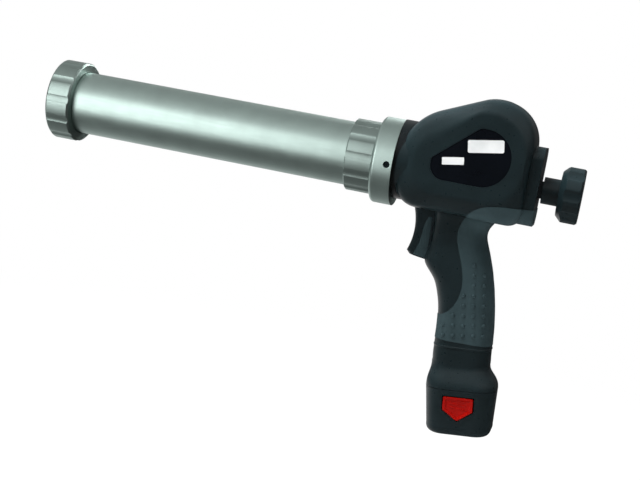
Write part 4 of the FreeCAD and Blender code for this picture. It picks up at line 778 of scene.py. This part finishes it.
class CAULKINGTOOL_OT_housing(bpy.types.Operator):
    """Two moulded housing halves and the screws that join them"""

    bl_idname = "caulking_tool.housing"
    bl_label = "Housing"

    def screw(self, tall):
        """One screw with a hexagon socket, its tip on the origin and its head at the top of Z."""
        size = sizes()
        shank, head, head_tall = size.screw_radius, size.screw_head, size.screw_head_tall
        piece = disc("screw", ROUND_CORNERS, shank)
        raised(piece, (
            (tall - head_tall, 1),
            (0, head / shank),
            (head_tall * HEAD_STRAIGHT, 1),
            (head_tall * (1 - HEAD_STRAIGHT), HEAD_TOP),
        ))
        close_up(piece)
        clear_selection()
        bpy.ops.mesh.primitive_cylinder_add(vertices=6, radius=size.screw_socket / 2,
                                            depth=2 * SOCKET_DEEP, location=(0, 0, tall))
        cutter = bpy.context.object
        modify(piece, "BOOLEAN", operation="DIFFERENCE", object=cutter, solver="EXACT")
        bpy.data.objects.remove(cutter, do_unlink=True)
        return piece

    def screw_places(self):
        """Axes of the screws in X and Z, read from the tips of the solid screws."""
        reach = 2 * sizes().screw_head
        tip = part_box("housing_screws")[0].y + TIP_DEEP
        spots = [vertex.co for vertex in frame["nodes"]["housing_screws"].data.vertices]
        ends = sorted({(spot.x, spot.z) for spot in spots if spot.y < tip})
        places = []
        while ends:
            ring = [end for end in ends if math.dist(end, ends[0]) < reach]
            ends = [end for end in ends if end not in ring]
            places.append([(min(values) + max(values)) / 2 for values in zip(*ring)])
        return places

    def execute(self, context):
        for side, _ in SIDES:
            even_normals(skin("housing_" + side, housing_plastic(), 32), SHELL_WEIGHT)
        low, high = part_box("housing_screws")
        pattern = self.screw(high.y - low.y)
        screws = [copied(pattern, Vector((x, low.y, z)), Vector((0, 1, 0)))
                  for x, z in self.screw_places()]
        bpy.data.objects.remove(pattern, do_unlink=True)
        piece = joined(screws, "housing_screws_skin")
        smooth(piece, 30)
        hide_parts("housing_screws")
        finished(piece, "base", metal("machined_steel"))
        return {"FINISHED"}


def surface_at(pieces, origin, direction):
    """Place and normal where a ray first meets some pieces, or None."""
    hits = []
    for piece in pieces:
        hit, place, normal, _ = piece.ray_cast(origin, direction)
        if hit:
            hits.append((place.copy(), normal.copy()))
    return min(hits, key=lambda found: (found[0] - origin).length, default=None)


def tube_ring(name, points, radius):
    """A closed round bead through points."""
    curve = bpy.data.curves.new(name, "CURVE")
    curve.dimensions = "3D"
    curve.bevel_depth = radius
    curve.bevel_resolution = 3
    spline = curve.splines.new("NURBS")
    spline.points.add(len(points) - 1)
    for item, point in zip(spline.points, points):
        item.co = (*point, 1)
    spline.use_cyclic_u = True
    spline.order_u = 4
    piece = bpy.data.objects.new(name, curve)
    bpy.context.scene.collection.objects.link(piece)
    work_on(piece)
    bpy.ops.object.convert(target="MESH")
    piece = bpy.context.object
    close_up(piece)
    smooth(piece, 60)
    return piece


class CAULKINGTOOL_OT_grip(bpy.types.Operator):
    """Soft rubber of the grip with its raised dots, and the bead below it"""

    bl_idname = "caulking_tool.grip"
    bl_label = "Grip"

    def bead(self):
        """The rounded bead round the grip just below its rubber."""
        shells = [bpy.data.objects["housing_" + side + "_skin"] for side, _ in SIDES]
        radius = sizes().bead_radius
        points = []
        for step in range(BEAD_STEPS):
            angle = math.tau * step / BEAD_STEPS
            outward = Vector((math.cos(angle), math.sin(angle), 0))
            start = BEAD_MIDDLE + outward * RAY_START
            start.z += BEAD_SLOPE * math.cos(angle)
            place, normal = surface_at(shells, start, -outward)
            points.append(place - normal * radius * BEAD_SUNK)
        piece = tube_ring("grip_bead", points, radius)
        finished(piece, "base", moulded("moulded_black"))

    def dots(self, rubber, sign, dome):
        """Domes in leaning rows on one side of the grip, where the rubber is flat enough."""
        pitch = sizes().dot_pitch
        lean = Matrix.Rotation(DOT_LEAN, 3, "Y")
        inward = Vector((0, -sign, 0))
        around = ((1, 0, 0), (-1, 0, 0), (0, 0, 1), (0, 0, -1))
        steps = [Vector(way) * DOT_REACH for way in around]
        domes = []
        for row in DOT_ROWS:
            for column in DOT_COLUMNS:
                spot = DOT_START + lean @ Vector((column * pitch, 0, row * pitch))
                origin = Vector((spot.x, sign * RAY_START, spot.z))
                found = surface_at([rubber], origin, inward)
                if not found or abs(found[1].y) < DOT_FACING:
                    continue
                place, normal = found
                rim = [surface_at([rubber], origin + step, inward) for step in steps]
                if all(rim) and max(abs(near.y - place.y) for near, _ in rim) < DOT_BEND:
                    domes.append(copied(dome, place - normal * DOT_SUNK, normal))
        return domes

    def execute(self, context):
        material = moulded("soft_rubber")
        skins = {side: skin("grip_rubber_" + side, material, 62) for side, _ in SIDES}
        dome = raised(disc("dome", DOME_CORNERS, sizes().dot_radius), DOME_STEPS, sizes().dot_high)
        for side, sign in SIDES:
            piece = joined(self.dots(skins[side], sign, dome), "grip_dots_" + side)
            close_up(piece)
            smooth(piece, 60)
            finished(piece, "base", material)
        bpy.data.objects.remove(dome, do_unlink=True)
        self.bead()
        return {"FINISHED"}


class CAULKINGTOOL_OT_label(bpy.types.Operator):
    """Glossy label in the side recess, with two blank plates"""

    bl_idname = "caulking_tool.label"
    bl_label = "Label"

    def plate(self, name, middle, width, height, corner):
        thick = sizes().plate_thick
        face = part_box("side_label")[0].y
        piece = block(name, width, thick, height)

        def crosses(edge):
            first, last = (piece.data.vertices[index].co.y for index in edge.vertices)
            return abs(first - last) > thick / 2

        edit(piece, edges=crosses)
        bpy.ops.mesh.bevel(offset=corner, segments=6, affect="EDGES")
        leave_edit()
        piece.rotation_euler = (0, -PLATE_TURN, 0)
        piece.location = (middle[0], face - thick / 2, middle[1])
        settle(piece)
        smooth(piece, 30)
        finished(piece, "base", moulded("plate_white"))

    def execute(self, context):
        skin("side_label", moulded("label_foil"))
        for plate in PLATES:
            self.plate(*plate)
        return {"FINISHED"}


class CAULKINGTOOL_OT_trigger(bpy.types.Operator):
    """Trigger with a soft pad on each flank, and its switch"""

    bl_idname = "caulking_tool.trigger"
    bl_label = "Trigger"

    def pad(self):
        """The pad of the left flank, half sunk in the trigger."""
        low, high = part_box("trigger")
        thick = sizes().pad_thick
        piece = disc("trigger_pad_left", len(PAD_OUTLINE))
        for vertex, (along, down) in zip(piece.data.vertices, PAD_OUTLINE):
            vertex.co = (low.x + along, low.y + thick / 2, high.z - down)
        edit(piece)
        push_out((0, -thick, 0))
        leave_edit()
        close_up(piece)
        round_edges(piece, thick * PAD_EDGE, 2, 50)
        smooth(piece, 40)
        return piece

    def execute(self, context):
        skin("trigger", moulded("moulded_black"), 30, sizes().metal_edge)
        left = self.pad()
        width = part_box("trigger")[1].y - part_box("trigger")[0].y
        right = named(copied(left, Vector((0, width, 0))), "trigger_pad_right")
        for piece in (left, right):
            finished(piece, "trigger_set", moulded("soft_rubber"))
        paint(("switch_plunger", "trigger_switch"), moulded("moulded_grey"))
        return {"FINISHED"}


class CAULKINGTOOL_OT_plunger(bpy.types.Operator):
    """Toothed rod with piston, seal, screw and pull knob"""

    bl_idname = "caulking_tool.plunger"
    bl_label = "Plunger"

    def execute(self, context):
        skin("push_rod", metal("blackened_steel"), 25)
        skin("piston", metal("turned_metal"), 30, sizes().metal_edge)
        skin("piston_seal", moulded("piston_rubber"))
        skin("piston_screw", metal("machined_steel"), 30, sizes().metal_edge)
        skin("rod_knob", moulded("moulded_black"), 30, sizes().plastic_edge)
        return {"FINISHED"}


class CAULKINGTOOL_OT_drive(bpy.types.Operator):
    """Gear train, shafts, plates and motor inside the housing"""

    bl_idname = "caulking_tool.drive"
    bl_label = "Drive"

    def execute(self, context):
        paint((
            "rack_pinion", "final_gear", "idler_pinion", "idler_wheel", "motor_pinion",
            "pinion_shaft", "idler_shaft", "output_shaft", "gear_plate_left", "gear_plate_right",
            "frame_pillars", "motor_standoffs", "motor_can", "gearhead_case",
        ), metal("machined_steel"))
        paint(("pinion_bushes", "idler_bushes", "output_bush"), metal("bush_bronze"))
        paint(("motor_cap", "rod_shoe"), moulded("moulded_grey"))
        return {"FINISHED"}


class CAULKINGTOOL_OT_battery(bpy.types.Operator):
    """Battery case, base, cells, contacts and the block that takes them"""

    bl_idname = "caulking_tool.battery"
    bl_label = "Battery"

    def execute(self, context):
        for node in ("battery_case", "battery_base"):
            skin(node, moulded("moulded_black"))
        paint(("battery_cells",), moulded("cell_sleeve"))
        paint(("battery_contacts",), metal("bush_bronze"))
        paint(("contact_block",), moulded("moulded_grey"))
        return {"FINISHED"}


class CAULKINGTOOL_OT_latches(bpy.types.Operator):
    """Red latch buttons with a sunk panel and finger ridges"""

    bl_idname = "caulking_tool.latches"
    bl_label = "Latches"

    def ridge(self):
        """One low finger ridge round the origin, its length along X."""
        high = sizes().ridge_high
        piece = block("ridge", sizes().ridge_long, sizes().ridge_wide, 2 * high)
        modify(piece, "BEVEL", width=high * RIDGE_EDGE, segments=3, limit_method="NONE")
        smooth(piece, 50)
        return piece

    def button(self, node, sign):
        """A latch button with a gap round it, and with a panel sunk in its face."""
        piece = skin(node, moulded("moulded_red"))
        low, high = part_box(node)
        centre = (low + high) / 2
        width = high.x - low.x
        fit = 1 - 2 * sizes().latch_room / width
        panel = 1 - 2 * sizes().panel_edge / width

        def outer(face):
            return face.normal.y * sign > LATCH_FACING and face.center.y * sign > LATCH_INSIDE

        edit(piece)
        bpy.ops.mesh.dissolve_limited(angle_limit=FLAT)
        bpy.ops.transform.resize(value=(fit, 1, fit), center_override=centre)
        leave_edit()
        edit(piece, faces=outer)
        for grow, sink in ((panel, 0), (PANEL_TAPER, sizes().panel_deep)):
            push_out((0, -sign * sink, 0), (grow, 1, grow), centre)
        leave_edit()
        round_edges(piece, sizes().plastic_edge, 3, 30)
        smooth(piece, 30)
        even_normals(piece)

    def execute(self, context):
        ridge = self.ridge()
        for side, sign in SIDES:
            node = "latch_button_" + side
            self.button(node, sign)
            low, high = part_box(node)
            centre = (low + high) / 2
            centre.y = (high if sign > 0 else low).y - sign * sizes().panel_deep
            places = [centre + Vector((0, 0, row * sizes().ridge_pitch)) for row in range(RIDGES)]
            ridges = [copied(ridge, place, Vector((0, sign, 0))) for place in places]
            rows = joined(ridges, "latch_ridges_" + side)
            finished(rows, side + "_latch", moulded("moulded_red"))
        bpy.data.objects.remove(ridge, do_unlink=True)
        return {"FINISHED"}


class CAULKINGTOOL_OT_stage(bpy.types.Operator):
    """Pale floor, soft studio light, white background and the camera"""

    bl_idname = "caulking_tool.stage"
    bl_label = "Stage"

    def floor(self, settings):
        """A plane that fades to white for the eye, and that mirrors and undersides don't show."""
        middle = ((CAD_BOX[0][0] + CAD_BOX[1][0]) / 2, 0, CAD_BOX[0][2] - settings.floor_gap)
        clear_selection()
        bpy.ops.mesh.primitive_plane_add(size=FLOOR_SIZE, location=middle)
        piece = named(bpy.context.object, "studio_floor")
        settle(piece)
        finish = Finish("studio_floor", colours().floor, specular=0.0)
        socket(finish.shader, "Base Color", (*finish.colour, 1))
        socket(finish.shader, "Roughness", FLOOR_ROUGHNESS)
        away = finish.node("ShaderNodeVectorMath", operation="DISTANCE")
        away.inputs[1].default_value = middle
        finish.join(finish.place, away.inputs[0])
        glow = finish.ranged(away.outputs["Value"], *FLOOR_GLOW, *FLOOR_FADE, "SMOOTHSTEP")
        rays = finish.node("ShaderNodeLightPath").outputs
        white = finish.node("ShaderNodeEmission").outputs["Emission"]
        seen = finish.calc("MULTIPLY", glow, rays["Is Camera Ray"])
        shown = finish.shader_blend(seen, finish.shader.outputs["BSDF"], white)
        under = finish.node("ShaderNodeNewGeometry").outputs["Backfacing"]
        clear = finish.node("ShaderNodeBsdfTransparent").outputs["BSDF"]
        unseen = finish.calc("MAXIMUM", rays["Is Glossy Ray"], under)
        surface = finish.shader_blend(unseen, shown, clear)
        finish.join(surface, finish.tree.nodes["Material Output"].inputs["Surface"])
        piece.data.materials.append(finish.material)

    def world(self):
        """White for the eye, soft light from above, and a room with a dark corner for mirrors."""
        world = bpy.data.worlds.new("studio")
        bpy.context.scene.world = world
        world.use_nodes = True
        nodes = Nodes(world.node_tree)
        blend, ramp = nodes.blend, nodes.ramp
        x, y, z = nodes.axes(nodes.node("ShaderNodeTexCoord").outputs["Generated"])
        back = blend(ramp(y, WALL_EDGE), ramp(z, BACK_LEVELS), WHITE)
        back = blend(ramp(x, CORNER_EDGE), back, ramp(z, CORNER_LEVELS))
        room = blend(ramp(y, ROOM_EDGE), ramp(z, FRONT_LEVELS), back)

        light = nodes.tree.nodes["Background"]
        mirrored = nodes.node("ShaderNodeBackground")
        shown = nodes.node("ShaderNodeBackground")
        nodes.join(ramp(z, SKY_LEVELS), light.inputs["Color"])
        nodes.join(room, mirrored.inputs["Color"])
        socket(shown, "Color", WHITE)
        rays = nodes.node("ShaderNodeLightPath").outputs
        mirror = nodes.calc("MAXIMUM", rays["Is Glossy Ray"], rays["Is Transmission Ray"])
        unseen = nodes.shader_blend(mirror, light.outputs[0], mirrored.outputs[0])
        surface = nodes.shader_blend(rays["Is Camera Ray"], unseen, shown.outputs[0])
        nodes.join(surface, nodes.tree.nodes["World Output"].inputs["Surface"])

    def lamp(self, name, place, target, width, height, watts):
        data = bpy.data.lights.new(name, "AREA")
        data.shape = "RECTANGLE"
        data.size = width
        data.size_y = height
        data.energy = getattr(bpy.context.scene.caulking_tool_stage, watts)
        lamp = bpy.data.objects.new(name, data)
        bpy.context.scene.collection.objects.link(lamp)
        lamp.location = place
        beam = Vector(target) - Vector(place)
        lamp.rotation_euler = beam.to_track_quat("-Z", "Y").to_euler()
        return lamp

    def lamps(self):
        """Two lamps that shine in bright metal only, and two that light the tool unmirrored."""
        metals = bpy.data.collections.new("bare_metals")
        for item in bpy.context.scene.objects:
            if item.type == "MESH" and item.data.materials:
                if item.data.materials[0].name in BRIGHT_METALS:
                    metals.objects.link(item)
        for settings in SHINE_LAMPS:
            lamp = self.lamp(*settings)
            lamp.visible_diffuse = False
            lamp.light_linking.receiver_collection = metals
            lamp.light_linking.blocker_collection = metals
        for settings in ROOM_LAMPS:
            self.lamp(*settings).visible_glossy = False

    def camera(self, settings):
        data = bpy.data.cameras.new("view")
        data.lens = settings.lens
        data.sensor_width = SENSOR_WIDTH
        data.clip_end = VIEW_END
        camera = bpy.data.objects.new("view", data)
        bpy.context.scene.collection.objects.link(camera)
        turn = Matrix.Rotation(settings.azimuth, 4, "Z")
        tilt = Matrix.Rotation(math.pi / 2 - settings.elevation, 4, "X")
        roll = Matrix.Rotation(settings.roll, 4, "Z")
        camera.matrix_world = Matrix.Translation(settings.eye) @ turn @ tilt @ roll
        bpy.context.scene.camera = camera

    def execute(self, context):
        settings = context.scene.caulking_tool_stage
        self.floor(settings)
        self.world()
        self.lamps()
        self.camera(settings)
        context.scene.view_settings.view_transform = "Standard"
        return {"FINISHED"}


class CAULKINGTOOL_PT_panel(bpy.types.Panel):
    """Lists the pieces of the tool and their settings"""

    bl_idname = "CAULKINGTOOL_PT_panel"
    bl_label = "Caulking tool"
    bl_space_type = "VIEW_3D"
    bl_region_type = "UI"
    bl_category = "Caulking tool"

    def draw(self, context):
        column = self.layout.column(align=True)
        for operator in OPERATORS:
            column.operator(operator.bl_idname)
        for name in GROUPS:
            group = getattr(context.scene, name)
            box = self.layout.box()
            for setting in group.__annotations__:
                box.prop(group, setting)


GROUPS = {
    "caulking_tool_sizes": CaulkingToolSizes,
    "caulking_tool_colours": CaulkingToolColours,
    "caulking_tool_stage": CaulkingToolStage,
}
OPERATORS = (
    CAULKINGTOOL_OT_barrel,
    CAULKINGTOOL_OT_collar,
    CAULKINGTOOL_OT_housing,
    CAULKINGTOOL_OT_grip,
    CAULKINGTOOL_OT_label,
    CAULKINGTOOL_OT_trigger,
    CAULKINGTOOL_OT_plunger,
    CAULKINGTOOL_OT_drive,
    CAULKINGTOOL_OT_battery,
    CAULKINGTOOL_OT_latches,
    CAULKINGTOOL_OT_stage,
)
CLASSES = (*GROUPS.values(), *OPERATORS, CAULKINGTOOL_PT_panel)


def register():
    for item in CLASSES:
        bpy.utils.register_class(item)
    for name, group in GROUPS.items():
        setattr(bpy.types.Scene, name, PointerProperty(type=group))


def unregister():
    for name in GROUPS:
        delattr(bpy.types.Scene, name)
    for item in reversed(CLASSES):
        bpy.utils.unregister_class(item)


def main():
    register()
    bpy.ops.caulking_tool.barrel()
    bpy.ops.caulking_tool.collar()
    bpy.ops.caulking_tool.housing()
    bpy.ops.caulking_tool.grip()
    bpy.ops.caulking_tool.label()
    bpy.ops.caulking_tool.trigger()
    bpy.ops.caulking_tool.plunger()
    bpy.ops.caulking_tool.drive()
    bpy.ops.caulking_tool.battery()
    bpy.ops.caulking_tool.latches()
    bpy.ops.caulking_tool.stage()


if __name__ == "__main__":
    main()
